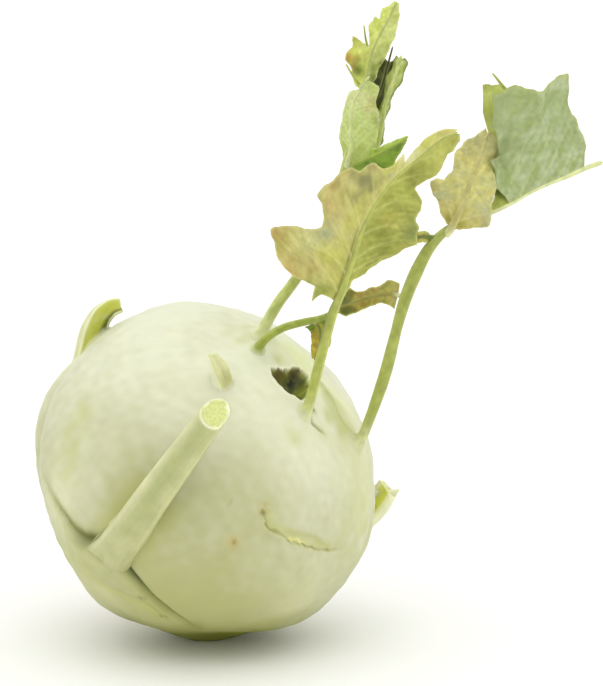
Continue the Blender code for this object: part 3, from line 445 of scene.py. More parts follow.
def skin_colour(directions):
    """Pale bloom over green skin, greener and darker towards the underside (partly its own colour, partly
    painted shade), paler at the sides and round the crown as painted light, with washes and marks.
    """
    skin = directions * MEAN_RADIUS
    colour = np.tile(linear(BLOOM), (len(directions), 1))
    right = directions[:, 0]
    # Painted light and shade: the sides stay paler than the front, and the green deepens towards the
    # underside, partly as the skin's own tone.
    painted_side_light = 0.60 * ease(right, 0.2, 0.8) + 0.30 * ease(-right, 0.4, 0.9)
    green = 0.05 + 0.85 * ease(-directions[:, 2], -0.95, -0.10) * (1 - painted_side_light)
    colour = washed(colour, SKIN_GREEN, green + 0.08 * waves(skin, 20.0, 11) + 0.06 * waves(skin, 4.0, 12))
    # Partly painted light: the skin is paler round the crown, where light falls from above.
    colour = washed(colour, "#e6e8d0", 0.55 * bell(np.arccos(np.clip(directions @ CROWN, -1, 1)), 0.55))
    dappled = 1 + 0.35 * waves(skin, 6.0, 13)
    for down, turn, size, share in SKIN_WASHES:
        colour = washed(colour, SKIN_YELLOW, share * near_site(directions, down, turn, size) * dappled)
    # Painted light and shade in patches, with some of the skin's own yellow-green.
    for down, turn, size, hex_colour, share in SKIN_LIGHT_AND_SHADE_PATCHES:
        colour = washed(colour, hex_colour, share * near_site(directions, down, turn, size))
    # Painted shadow on the skin to both sides of the thick stalk.
    shade, along = skin_line(directions, FRONT_STALK_SHADOW_LINE)
    stalk_shadow_share = bell(np.maximum(np.abs(shade) - 4.5, 0), 3.2)
    colour = washed(colour, STALK_SIDE_SHADOW, 0.62 * stalk_shadow_share * ends(along, 0.3))
    # Partly the underside's own greener tone, partly painted shade; the sides stay paler as painted light.
    low = -directions[:, 2] + 0.03 * waves(skin, 14.0, 14)
    painted_side_light_low = np.minimum(1.3 * ease(right, 0.1, 0.5) + 1.2 * ease(-right, 0.2, 0.6), 1.4)
    colour = washed(colour, LOW_SKIN_AND_SHADE, ease(low, 0.05, 0.60) * (1 - 0.5 * painted_side_light_low))
    colour = washed(colour, UNDER_SKIN_AND_SHADE, ease(low, 0.62, 0.92) * (1 - 0.3 * painted_side_light_low))
    # Painted shade in the front crease and its corners, under the overhanging leaf base.
    crease, along = skin_line(directions, FRONT_CREASE)
    east = ease(along, 0.48, 0.60)
    west_side = bell(np.minimum(crease, 0), 2.2) * bell(np.maximum(crease, 0), 0.30)
    east_side = bell(np.minimum(crease, 0), 0.35) * bell(np.maximum(crease, 0), 1.5)
    crease_shade_share = (1 - east) * west_side + east * east_side
    colour = washed(colour, CREASE_AND_STEP_SHADE, 0.80 * ends(along, 0.25) * crease_shade_share)
    colour = washed(colour, AXIL_SHADOW, 0.60 * east * ends(along, 0.25) * bell(crease, 0.32))
    corner_shade_reach = (1 - east) * bell(crease + 0.4, 1.5) + east * bell(crease, 0.7)
    for (down, turn), size in FRONT_CORNERS:
        colour = washed(colour, AXIL_SHADOW, 0.95 * near_site(directions, down, turn, size) * corner_shade_reach)
    hem, along = skin_line(directions, FRONT_HEM)
    colour = washed(colour, SKIN_YELLOW, 0.45 * ends(along, 0.2) * bell(hem - 1.6, 1.8))
    colour = washed(colour, SKIN_YELLOW, 0.35 * near_site(directions, 99.0, -4.0, 7.0))
    # Painted shade along the hem's faint step.
    colour = washed(colour, CREASE_AND_STEP_SHADE, 0.35 * ends(along, 0.2) * bell(hem, 0.30))
    for mark in HEM_MARKS:
        near, along = skin_line(directions, mark)
        colour = washed(colour, "#6c7428", 0.85 * bell(near, 0.28) * ends(along, 0.3))
    return root_colour(crown_colour(scar_colour(colour, directions), directions), directions)


def scar_colour(colour, directions):
    """The scar's olive crack and buff lip, the thin scratch and one rusty spot."""
    skin = directions * MEAN_RADIUS
    across, share = skin_line(directions, SCAR)
    across = across + 0.18 * waves(skin, 2.2, 23)
    colour = washed(colour, SKIN_YELLOW, 0.45 * ends(share, 0.12) * bell(across + 1.0, 1.5))
    broken = 0.85 + 0.25 * waves(skin, 3.0, 24)
    colour = washed(colour, "#8f9040", 0.85 * broken * ends(share, 0.1) * bell(across, 0.30))
    middle = ease(share, 0.45, 0.55) * ease(1 - share, 0.25, 0.35)
    colour = washed(colour, "#d9d68c", middle * bell(across + 0.5, 0.35))
    colour = washed(colour, "#6f6a2c", 0.8 * near_site(directions, *SCAR_NOTCH, 0.7))
    bruise = 0.5 * near_site(directions, 47.4, 34.0, 1.5) * (1 + 0.6 * waves(skin, 1.8, 21))
    colour = washed(colour, "#b0a35c", bruise)
    lip, share = skin_line(directions, SCAR_LIP)
    colour = washed(colour, "#a9aa5c", 0.45 * ends(share, 0.3) * bell(lip, 0.8))
    scratch, share = skin_line(directions, SCRATCH)
    colour = washed(colour, "#8d8f4c", 0.45 * ends(share, 0.2) * bell(scratch, 0.22))
    spot = 0.75 * near_site(directions, 61.6, 28.4, 1.6) * (1 + 0.25 * waves(skin, 1.2, 22))
    colour = washed(colour, "#b8a660", spot)
    return washed(colour, RUST, 0.65 * near_site(directions, 61.5, 28.8, 0.6))


def crown_colour(colour, directions):
    """Painted shade darkening the pit's green towards its floor, a buff torn lip, and painted shade behind
    the ledge and in the fold.
    """
    inside = pit_share(directions)
    sunk = directions * (MEAN_RADIUS - PIT_DEPTH * inside)[:, None]
    ledge, share = skin_line(directions, CROWN_LEDGE)
    # Painted shade behind the ledge and along it, and in the fold.
    colour = washed(colour, "#a9ad66", 0.40 * ends(share, 0.5) * bell(ledge - 2.2, 2.2))
    colour = washed(colour, "#8a9444", 0.30 * ends(share, 0.35) * bell(ledge, 0.5))
    fold, share = skin_line(directions, CROWN_FOLD)
    colour = washed(colour, "#7f8840", 0.7 * ends(share, 0.2) * bell(fold, 0.5))
    torn = 0.45 + 0.35 * waves(sunk, 4.0, 32)
    colour = washed(colour, "#e9e9ce", torn * bell(pit_reach(directions) - 1.05, 0.08))
    mottle = 0.14 * waves(sunk, 2.2, 31) * (inside > 0)
    # Painted shade: the pit greens and darkens towards its floor, over the torn tissue's own olive.
    colour = washed(colour, "#8d9440", 1.6 * ease(inside, 0.02, 0.25))
    colour = washed(colour, PIT_WALL_AND_SHADE, ease(inside + mottle, 0.10, 0.45))
    colour = washed(colour, PIT_FLOOR_SHADE, ease(inside + mottle, 0.60, 1.0))
    for down, turn, size, hex_colour in CROWN_MARKS:
        near = near_site(directions, down, turn, size) * (1 + 0.6 * mottle)
        colour = washed(colour, hex_colour, 0.9 * near * (inside > 0 if size > 1.0 else 1.0))
    return colour


def root_colour(colour, directions):
    """The cut root end: a corky buff disc with a browner rim and a paler core."""
    skin = directions * MEAN_RADIUS
    down = np.degrees(np.arccos(np.clip(directions @ CROWN, -1, 1)))
    corky = ease(down + 0.8 * waves(skin, 2.0, 41), ROOT_CUT_ANGLE - 1.5, ROOT_CUT_ANGLE + 0.5)
    colour = washed(colour, CORK, corky)
    colour = washed(colour, "#7d6338", 0.8 * bell(down - ROOT_CUT_ANGLE - 1.0, 1.4))
    return washed(colour, "#d8cda2", 0.8 * bell(down - 180.0, 5.0))


def grid_triangles(rows, columns, wrap=True):
    """Two triangles for each cell of a grid of points; `wrap` joins the last column to the first."""
    index = np.arange(rows * columns).reshape(rows, columns)
    low, high = index[:-1], index[1:]
    if wrap:
        low_next, high_next = np.roll(low, -1, 1), np.roll(high, -1, 1)
    else:
        low, low_next, high, high_next = low[:, :-1], low[:, 1:], high[:, :-1], high[:, 1:]
    first = np.stack([low, high, high_next], -1).reshape(-1, 3)
    second = np.stack([low, high_next, low_next], -1).reshape(-1, 3)
    return np.vstack([first, second])


def cap_triangles(ring, tip):
    """A fan from one point to each edge of a closed ring."""
    return np.stack([np.full(len(ring), tip), ring, np.roll(ring, -1)], -1)


def tube_triangles(rings, sides):
    """A closed tube: the grid of its rings, then a fan at each end to one point more."""
    first, last = rings * sides, rings * sides + 1
    start = cap_triangles(np.arange(sides), first)
    finish = cap_triangles(np.arange((rings - 1) * sides, rings * sides)[::-1], last)
    return np.vstack([grid_triangles(rings, sides), start, finish])


def outward(points, triangles):
    """The triangles, turned over if their signed volume is negative.

    That volume is a sixth of the sum of each triangle's triple product."""
    a, b, c = (points[triangles[:, k]] for k in range(3))
    turned = np.einsum("ij,ij->i", a, np.cross(b, c)).sum() < 0
    return triangles[:, ::-1] if turned else triangles


BOX_MARGIN = 0.01


def make_piece(name, points, triangles, colours, grain, materials, second=None):
    """A smooth mesh in metres, kept just inside the frame's box, its faces turned outwards.

    `tint` holds each point's colour, painted light and shade included, and `grain` a place for patterns that
    follow the growth.
    `second` marks the triangles that take the second material."""
    low, high = (np.array(corner) / MM for corner in CAD_BOX)
    points = np.clip(points, low + BOX_MARGIN, high - BOX_MARGIN)
    triangles = outward(points, triangles)
    mesh = bpy.data.meshes.new(name)
    mesh.from_pydata(points * MM, [], triangles)
    colours = np.column_stack([np.clip(colours, 0, 1), np.ones(len(points))])
    mesh.attributes.new("tint", "FLOAT_COLOR", "POINT").data.foreach_set("color", colours.ravel())
    mesh.attributes.new("grain", "FLOAT_VECTOR", "POINT").data.foreach_set("vector", np.ravel(grain))
    for material in materials:
        mesh.materials.append(material)
    if second is not None:
        mesh.polygons.foreach_set("material_index", second.astype(np.int32))
    mesh.shade_smooth()
    piece = bpy.data.objects.new(name, mesh)
    bpy.context.scene.collection.objects.link(piece)
    return piece


def add_node(tree, kind, inputs=None, **settings):
    """Adds a node with its settings; an input given as a socket is linked, else it is a value."""
    made = tree.nodes.new(kind)
    for setting, value in settings.items():
        setattr(made, setting, value)
    for key, value in (inputs or {}).items():
        if isinstance(value, bpy.types.NodeSocket):
            tree.links.new(value, made.inputs[key])
        else:
            made.inputs[key].default_value = value
    return made


def plant_material(name, mottle, streak, bump, roughness, subsurface, radius, coat=0.0):
    """Living tissue: the point's tint, painted light and shade included, mottled and streaked by noise, over
    a fine bump.

    `mottle` and `streak` are (millimetres, strength); streaks lie along the grain attribute.
    `bump` is (millimetres, strength, height in mm), `roughness` the least and the most, and
    `radius` how many millimetres light travels inside."""
    material = bpy.data.materials.new(name)
    material.use_nodes = True
    tree = material.node_tree
    shader = tree.nodes["Principled BSDF"]
    tint = add_node(tree, "ShaderNodeAttribute", attribute_name="tint")
    grain = add_node(tree, "ShaderNodeAttribute", attribute_name="grain")
    place = add_node(tree, "ShaderNodeTexCoord")
    spots = add_node(tree, "ShaderNodeTexNoise",
                     {"Vector": place.outputs["Object"], "Scale": 1 / (mottle[0] * MM), "Detail": 4.0})
    lines = add_node(tree, "ShaderNodeTexNoise",
                     {"Vector": grain.outputs["Vector"], "Scale": 1 / streak[0], "Detail": 3.0})
    spot_shade, line_shade = (
        add_node(tree, "ShaderNodeMapRange",
                 {"Value": noise.outputs["Fac"], "From Min": 0.25, "From Max": 0.75,
                  "To Min": 1 - strength, "To Max": 1 + strength}).outputs["Result"]
        for noise, strength in ((spots, mottle[1]), (lines, streak[1])))
    shade = add_node(tree, "ShaderNodeMath", {0: spot_shade, 1: line_shade}, operation="MULTIPLY")
    colour = add_node(tree, "ShaderNodeVectorMath",
                      {0: tint.outputs["Color"], "Scale": shade.outputs["Value"]}, operation="SCALE")
    tree.links.new(colour.outputs["Vector"], shader.inputs["Base Color"])
    sheen = add_node(tree, "ShaderNodeMapRange",
                     {"Value": spots.outputs["Fac"], "To Min": roughness[0], "To Max": roughness[1]})
    tree.links.new(sheen.outputs["Result"], shader.inputs["Roughness"])
    pores = add_node(tree, "ShaderNodeTexNoise",
                     {"Vector": place.outputs["Object"], "Scale": 1 / (bump[0] * MM), "Detail": 3.0})
    height = add_node(tree, "ShaderNodeMath",
                      {0: pores.outputs["Fac"], 1: lines.outputs["Fac"]}, operation="ADD")
    skin = add_node(tree, "ShaderNodeBump",
                    {"Height": height.outputs["Value"], "Strength": bump[1], "Distance": bump[2] * MM})
    tree.links.new(skin.outputs["Normal"], shader.inputs["Normal"])
    shader.inputs["IOR"].default_value = 1.42
    shader.inputs["Subsurface Weight"].default_value = subsurface
    shader.inputs["Subsurface Radius"].default_value = (1.0, 0.9, 0.4)
    shader.inputs["Subsurface Scale"].default_value = radius * MM
    shader.inputs["Coat Weight"].default_value = coat
    shader.inputs["Coat Roughness"].default_value = 0.35
    return material


# Kohlrabi skin: a tough epidermis under wax bloom, so a soft satin sheen and pale, milky depth.
WAXY_SKIN = plant_material("waxy_bulb_skin", (6.0, 0.022), (1.6, 0.015), (0.9, 0.25, 0.10),
                           (0.42, 0.62), 0.25, 3.0, 0.05)


# Rings crowd towards the crown, where the relief is finest, by this power of their number.
RING_CROWDING = 1.15
# How much a place along the growth counts against one across it, in the skin's streaks.
GRAIN_SQUEEZE = 0.12


def build_bulb():
    """A grid of directions from the crown to the root, each pushed out to the bulb's radius."""
    steps = np.arange(1, BULB_RINGS) / BULB_RINGS
    down = 180.0 * steps**RING_CROWDING
    turn = 360.0 * np.arange(BULB_SIDES) / BULB_SIDES
    grid_down, grid_turn = np.meshgrid(down, turn, indexing="ij")
    directions = direction(grid_down.ravel(), grid_turn.ravel())
    directions = np.vstack([directions, CROWN, -CROWN])
    points = BULB_CENTRE + directions * bulb_radius(directions)[:, None]
    points[:, 2] = np.maximum(points[:, 2], 0.0)
    return make_piece("bulb_flesh", points, tube_triangles(BULB_RINGS - 1, BULB_SIDES),
                      skin_colour(directions), grain_of(directions), [WAXY_SKIN])


def grain_of(directions):
    """A place whose lines run from crown to root: the turn at full size, the way down squeezed."""
    down = np.arccos(np.clip(directions @ CROWN, -1, 1))
    side = unit(directions - (directions @ CROWN)[:, None] * CROWN + 1e-9)
    return MEAN_RADIUS * np.column_stack([side @ ROUND_X, side @ ROUND_Y, GRAIN_SQUEEZE * down])


bulb = build_bulb()
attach(bulb, "root")
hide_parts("bulb")


# ---------------------------------------------------------------- cut stalks
# Four leaf stalks cut off by the grower's knife: crisp green tissue round a paler, wetter pith.
# Each widens at its foot into the bulb's own skin, and has dried a little round the cut.

FRONT_STUB_ROUTE = [
    (-20.5, -19.5, 24.0), (-22.0, -26.5, 26.0), (-21.8, -33.2, 30.0), (-17.7, -39.4, 37.0),
    (-12.4, -44.0, 45.5), (-6.6, -47.0, 54.0), (-1.0, -48.7, 62.0), (2.7, -49.0, 67.0),
]
FRONT_STUB_RADII = [5.8, 5.5, 5.1, 4.6, 4.2, 3.9, 3.6, 3.3]
LEFT_STUB_ROUTE = [
    (-31.0, 6.0, 57.0), (-31.6, 7.0, 64.5), (-30.7, 7.2, 70.5), (-29.5, 7.1, 76.0), (-27.7, 6.8, 80.1),
    (-25.2, 6.6, 82.5), (-22.4, 6.4, 83.6),
]
LEFT_STUB_RADII = [4.2, 3.8, 3.6, 3.4, 3.3, 2.7, 1.9]
RIGHT_STUB_ROUTE = [
    (33.0, 13.5, 24.0), (36.5, 14.5, 26.3), (40.2, 15.0, 28.9), (43.0, 14.7, 32.2), (44.7, 14.4, 34.8),
]
RIGHT_STUB_RADII = [4.2, 3.9, 3.7, 3.5, 2.9]
CROWN_STUB_ROUTE = [(4.8, -26.0, 68.5), (4.2, -28.8, 71.2), (3.2, -31.4, 74.4), (1.5, -33.4, 78.2)]
CROWN_STUB_RADII = [1.3, 2.1, 2.3, 1.3]
STUB_SIDES = 72
STUB_RINGS = 90
SKIRT_RINGS = 16
CUT_RINGS = 12
# A foot's edge lies FOOT_SUNK under the skin and its last ring FOOT_DEPTH, so no gap can open.
FOOT_DEPTH = 1.2
FOOT_SUNK = 0.12
# A foot's curve is drawn along the skin and up the stem by its own size times SKIRT_PULL, plus
# SKIRT_EXTRA.
SKIRT_PULL = 1.25
SKIRT_EXTRA = 0.4
CUT_LIP = 0.25
# The share of the cut face, from the knife's edge inwards, that is still skin.
SKIN_SHARE = 0.12


def route_length(route):
    """Sum of the distances between a route's samples."""
    return float(np.linalg.norm(np.diff(route, axis=0), axis=1).sum())


def walk(route, distance):
    """Point and heading at each distance along the route, carried straight past its ends."""
    steps = np.linalg.norm(np.diff(route, axis=0), axis=1)
    reach = np.concatenate([[0], np.cumsum(steps)])
    slopes = unit(np.gradient(route, reach, axis=0))
    distance = np.asarray(distance, float)
    place = np.stack([np.interp(distance, reach, route[:, k]) for k in range(3)], -1)
    heading = unit(np.stack([np.interp(distance, reach, slopes[:, k]) for k in range(3)], -1))
    past = distance - np.clip(distance, 0, reach[-1])
    return place + past[..., None] * heading, heading


def stem_points(stem, distance, turn):
    """Points on a stem: its route's place, plus its radius times its section's shape, round it.

    Turn 90 degrees faces `facing`, and turn 0 lies across. `shape` takes (share of the length,
    turn) and gives the share of the radius there."""
    route, radii, facing, shape = stem
    share = distance / route_length(route)
    place, heading = walk(route, distance)
    radius = np.interp(share, np.linspace(0, 1, len(radii)), radii) * shape(share, turn)
    across = unit(np.cross(facing, heading))
    front = np.cross(heading, across)
    angle = np.radians(turn)
    return place + (radius * np.cos(angle))[..., None] * across + (radius * np.sin(angle))[..., None] * front


def far_round(turn, centre):
    """Degrees from one turn to another the short way round, signed."""
    return (turn - centre + 180.0) % 360.0 - 180.0


def skin_point(points):
    """The bulb's skin straight out through each point."""
    directions = unit(points - BULB_CENTRE)
    radius = bulb_radius(directions.reshape(-1, 3)).reshape(directions.shape[:-1])
    return BULB_CENTRE + directions * radius[..., None]


def leave_skin(stem, turn):
    """Distance at which each line of a stem's side comes out of the bulb, by linear crossing."""
    tries = np.linspace(0, route_length(stem[0]), 140)
    grid = stem_points(stem, tries[:, None] + 0 * turn, turn + 0 * tries[:, None])
    skin = np.linalg.norm(skin_point(grid) - BULB_CENTRE, axis=-1)
    clear = np.linalg.norm(grid - BULB_CENTRE, axis=-1) - skin
    last = len(tries) - 2 - np.argmax((clear[:-1] <= 0)[::-1], axis=0)
    side = np.arange(len(turn))
    below, above = clear[last, side], clear[last + 1, side]
    part = np.clip(-below / (above - below), 0, 1)
    return tries[last] + part * (tries[1] - tries[0])


def skirt_rings(stem, turn, spread, rise):
    """Rings from the bulb's skin up to the stem, as a Hermite curve on every side of it.

    It leaves the skin `spread` mm out from the stem, heading inwards along the skin, and meets
    the stem `rise` mm above the skin, heading along it."""
    leave = leave_skin(stem, turn)
    touch = stem_points(stem, leave, turn)
    start = leave + rise
    top = stem_points(stem, start, turn)
    normal = unit(touch - BULB_CENTRE)
    middle = touch.mean(axis=0)
    out = touch - middle
    out = unit(out - np.einsum("ij,ij->i", out, normal)[:, None] * normal)
    foot = skin_point(touch + out * spread[:, None])
    inward = -out * (SKIRT_PULL * spread + SKIRT_EXTRA)[:, None]
    upward = unit(top - stem_points(stem, start - 0.3, turn)) * (SKIRT_PULL * rise + SKIRT_EXTRA)[:, None]
    u = np.linspace(0, 1, SKIRT_RINGS)[:, None, None]
    rings = ((2 * u**3 - 3 * u**2 + 1) * foot + (u**3 - 2 * u**2 + u) * inward
             + (3 * u**2 - 2 * u**3) * top + (u**3 - u**2) * upward)
    sunk = unit(BULB_CENTRE - foot)
    rings = rings + FOOT_SUNK * (1 - u) ** 3 * sunk
    return np.concatenate([(foot + FOOT_DEPTH * sunk)[None], rings]), start


def cut_distance(stem, turn, normal):
    """Distance at which each line of the stem's side crosses the cut plane through its end."""
    length = route_length(stem[0])
    tries = np.linspace(0.5 * length, 1.35 * length, 160)
    grid = stem_points(stem, tries[:, None] + 0 * turn, turn + 0 * tries[:, None])
    height = (grid - stem[0][-1]) @ unit(normal)
    index = np.maximum(np.argmax(height > 0, axis=0), 1)
    side = np.arange(len(turn))
    below, above = height[index - 1, side], height[index, side]
    return tries[index] - above / (above - below) * (tries[1] - tries[0])


def cut_face(ring, normal, dish, seed):
    """Rings from the knife's edge to the middle: a lifted lip, then pith sunk like a dish."""
    centre = ring.mean(axis=0)
    share = np.linspace(1, 0, CUT_RINGS + 1)[1:-1]
    rings = centre + share[:, None, None] * (ring - centre)
    uneven = 1 + 0.7 * waves(ring, 5.0, seed + 1)
    lip = CUT_LIP * uneven * bell(share - 0.93, 0.08)[:, None]
    height = lip - dish * ease(1 - share, 0.05, 0.35)[:, None]
    rough = 0.10 * waves(rings, 1.1, seed) * ease(1 - share, 0.1, 0.3)[:, None]
    return rings + (height + rough)[..., None] * unit(normal), centre - dish * unit(normal)


def stub_mesh(stem, spread, rise, cut, seed, dish):
    """A rooted, sliced stem: (points, triangles, which are pith, values at each point).

    The values are the share of the length, the turn, 1 at the foot down to 0 where the stem
    begins, and 0 on the side up to 1 in the middle of the cut face."""
    turn = 360.0 * np.arange(STUB_SIDES) / STUB_SIDES
    skirt, start = skirt_rings(stem, turn, spread(turn), rise(turn))
    end = cut_distance(stem, turn, cut)
    step = np.linspace(0, 1, STUB_RINGS)[1:, None]
    distance = start + step * (end - start)
    tube = stem_points(stem, distance, turn + 0 * step)
    face, middle = cut_face(tube[-1], cut, dish, seed)
    rings = np.concatenate([skirt, tube, face])
    points = np.vstack([rings.reshape(-1, 3), skirt[0].mean(axis=0)[None], middle[None]])
    triangles = tube_triangles(len(rings), STUB_SIDES)
    share = np.concatenate([np.zeros((len(skirt), STUB_SIDES)) + start, distance,
                            np.zeros((len(face), STUB_SIDES)) + end]) / route_length(stem[0])
    foot = np.concatenate([np.ones(1), np.linspace(1, 0, SKIRT_RINGS), np.zeros(len(tube) + len(face))])
    across = np.concatenate([np.zeros(len(skirt) + len(tube)), np.linspace(0, 1, len(face) + 2)[1:-1]])
    flat = [np.append(value, [value.flat[0], value.flat[-1]]) for value in
            (share, np.tile(turn, len(rings)), np.repeat(foot, STUB_SIDES), np.repeat(across, STUB_SIDES))]
    flat[3][-1] = 1.0
    pith = flat[3][triangles].mean(axis=1) > SKIN_SHARE
    return points, triangles, pith, flat


def stem_colour(points, base, foot, sides):
    """The stem's own colour, running into the bulb's colour where each line of its side begins."""
    first = skin_colour(unit(points[:sides] - BULB_CENTRE))
    skin = np.vstack([np.tile(first, (len(points) // sides, 1)), first[:2]])[: len(points)]
    share = foot[:, None]
    return base * (1 - share) + skin * share


def round_section(share, turn):
    """A plain round section: 1 all round."""
    return 1 + 0 * turn


# Leaf stalk skin: a thin waxed epidermis over fibres, so fine lines run up it and it has a low
# sheen along each ridge.
STALK_SKIN = plant_material("green_stalk_skin", (3.0, 0.07), (0.7, 0.05), (0.5, 0.35, 0.10),
                            (0.38, 0.55), 0.15, 1.5, 0.1)
# Cut stalk pith: wet, open tissue left by a knife, so it is grainy, milky and catches more light.
CUT_PITH = plant_material("cut_stalk_pith", (0.9, 0.10), (0.5, 0.06), (0.5, 0.5, 0.12),
                          (0.30, 0.50), 0.30, 1.5, 0.15)


def front_section(share, turn):
    """Round with a flatter front between two low ribs, which fade towards the foot."""
    grown = ease(share, 0.35, 0.7)
    flat = -0.10 * bell(far_round(turn, 95.0), 34.0)
    ribs = 0.06 * bell(far_round(turn, 30.0), 18.0) + 0.07 * bell(far_round(turn, 158.0), 16.0)
    return 1 + grown * (flat + ribs)


def channel_section(depth, width=42.0):
    """Round with a channel down the side that faces the crown, between two raised edges."""
    def section(share, turn):
        off = far_round(turn, 90.0)
        edges = 0.08 * (bell(off - width * 1.3, 12.0) + bell(off + width * 1.3, 12.0))
        return 1 + edges - depth * bell(off / width, 1.0) ** 1.2 * ease(share, 0.15, 0.45)
    return section


def grain_along(share, turn, radius):
    """A place whose lines run along a stem: its turn at full size, its length squeezed."""
    angle = np.radians(turn)
    return np.column_stack([radius * np.cos(angle), radius * np.sin(angle), 6.0 * share])


def build_stub(name, node, route, radii, facing, section, spread, rise, cut, paint, seed, dish=0.5):
    """Makes one cut stalk, paints it and hands it to the frame."""
    stem = (smooth_route(route), radii, facing, section)
    points, triangles, pith, (share, turn, foot, across) = stub_mesh(stem, spread, rise, cut, seed, dish)
    colour = stem_colour(points, paint(points, share, turn, across), foot, STUB_SIDES)
    grain = grain_along(share, turn, 4.0 * (1 - across))
    piece = make_piece(name, points, triangles, colour, grain, [STALK_SKIN, CUT_PITH], pith)
    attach(piece, "root")
    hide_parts(node)


def front_stub_paint(points, share, turn, across):
    """Pale ribs either side of a yellow-green flat, deepest in its middle, then pith: the ribs' pale stripes
    are partly painted highlight and the flat's deep middle partly painted shade.
    """
    colour = np.tile(linear("#bdbe8c"), (len(points), 1))
    colour = washed(colour, "#acb078", 0.4 + 0.2 * waves(points, 7.0, 51))
    grown = ease(share, 0.30, 0.60)
    # Partly painted shade in the flat's middle, and partly painted highlight on the pale rib stripes below.
    colour = washed(colour, "#9fa76c", 0.7 * grown * bell(far_round(turn, 100.0), 30.0))
    colour = washed(colour, "#d6d9a0", 0.6 * ease(share, 0.2, 0.5) * bell(far_round(turn, 168.0), 12.0))
    colour = washed(colour, "#cfd0a4", 0.6 * bell(far_round(turn, 38.0), 24.0))
    return cut_paint(colour, points, turn, across)


def cut_paint(colour, points, turn, across):
    """A dry whitish lip, widest in front, then yellow-green pith with darker speckles."""
    colour = washed(colour, "#e4e5c8", ease(across, 0.02, 0.10))
    lip = 0.05 + 0.10 * bell(far_round(turn, 100.0), 60.0)
    pith = ease(across + 0.06 * waves(points, 2.0, 52), lip, lip + 0.20)
    colour = washed(colour, "#cdd38a", pith)
    return washed(colour, "#bfc773", 0.12 * pith * ease(waves(points, 1.5, 53), 0.0, 1.2))


def channel_paint(wall, floor, channel_shade_colour, edge, reach, lean):
    """Colours for a channelled stub: its wall, its channel's floor, painted shade in the channel towards
    the foot, and pale edges that are partly painted highlight.

    The channel reaches `reach` degrees to one side and 54 to the other, and `lean` deepens the
    painted shade on that other side."""
    def paint(points, share, turn, across):
        colour = np.tile(linear(wall), (len(points), 1))
        off = far_round(turn, 90.0)
        channel = ease(off, -reach - 8.0, 8.0 - reach) * (1 - ease(off, 46.0, 62.0))
        colour = washed(colour, floor, 0.95 * channel * (1 + 0.1 * waves(points, 3.0, 54)))
        # Painted shade in the channel, deepest towards the foot.
        colour = washed(colour, channel_shade_colour, 0.9 * channel * ease(1 - share + lean * off / 60.0, 0.25, 0.7))
        # Pale edges, partly painted highlight.
        colour = washed(colour, edge, 0.7 * (bell(off - 60.0, 7.0) + bell(off + reach + 6.0, 6.0)))
        return cut_paint(colour, points, turn, across)
    return paint


def even(size):
    """The same width all round."""
    return lambda turn: size + 0 * turn


def front_spread(turn):
    """Tight against the bulb at the stalk's sides, and a little wider in front."""
    return 0.5 + 2.8 * bell(far_round(turn, 88.0), 46.0)


def front_rise(turn):
    """Short at the sides, and long in front, where the leaf base runs up into the stalk."""
    return 0.6 + 8.5 * bell(far_round(turn, 90.0), 55.0)


build_stub("front_cut_stalk", "cut_stalk_front", FRONT_STUB_ROUTE, FRONT_STUB_RADII, (-0.3, -0.9, 0.2),
           front_section, front_spread, front_rise, (0.30, -0.75, 0.60), front_stub_paint, 61)
build_stub("left_cut_stalk", "cut_stalk_left", LEFT_STUB_ROUTE, LEFT_STUB_RADII, (0.55, -0.76, 0.34),
           channel_section(0.34, 56.0), even(2.0), even(2.5), (0.90, 0.10, 0.42),
           channel_paint("#c9cb98", "#b3b744", "#4c5512", "#ecedc8", 62.0, 0.7), 62, 0.3)
build_stub("right_cut_stalk", "cut_stalk_right", RIGHT_STUB_ROUTE, RIGHT_STUB_RADII, (-0.42, -0.72, 0.50),
           channel_section(0.30, 52.0), even(1.0), even(1.5), (0.76, -0.05, 0.64),
           channel_paint("#dfe0b6", "#c6ca4a", "#b4b83e", "#e4e6b0", 24.0, 0.0), 63, 0.3)
build_stub("crown_cut_stalk", "cut_stalk_crown", CROWN_STUB_ROUTE, CROWN_STUB_RADII, (0.35, -0.90, 0.25),
           channel_section(0.60), even(1.2), even(1.2), (-0.2, 0.25, 0.95),
           channel_paint("#e8e9ca", "#cfd09c", "#b2b274", "#b9bf50", 46.0, 0.0), 64, 0.2)


# ---------------------------------------------------------------- middle leaf
# A young lobed leaf, wilted and turning yellow. Its underside faces forward with the midrib
# raised on it, and thin tissue sags a little between the side veins.

MIDDLE_ROUTE = [
    (22.5, -23.3, 59.0), (24.4, -27.0, 64.0), (26.8, -30.0, 74.0), (29.0, -31.5, 83.0),
    (30.5, -32.5, 88.5), (32.0, -32.5, 92.0), (34.5, -32.5, 99.0), (37.5, -32.0, 108.5),
    (41.0, -31.0, 115.0), (45.0, -30.5, 120.0), (50.5, -29.0, 124.5), (55.5, -27.5, 128.5),
    (60.0, -26.0, 130.5),
]
MIDDLE_RADII = [1.45, 1.25, 1.25, 1.15, 0.62, 0.46, 0.40, 0.36, 0.28]
MIDDLE_FORWARD = (-0.15, -0.95, 0.25)
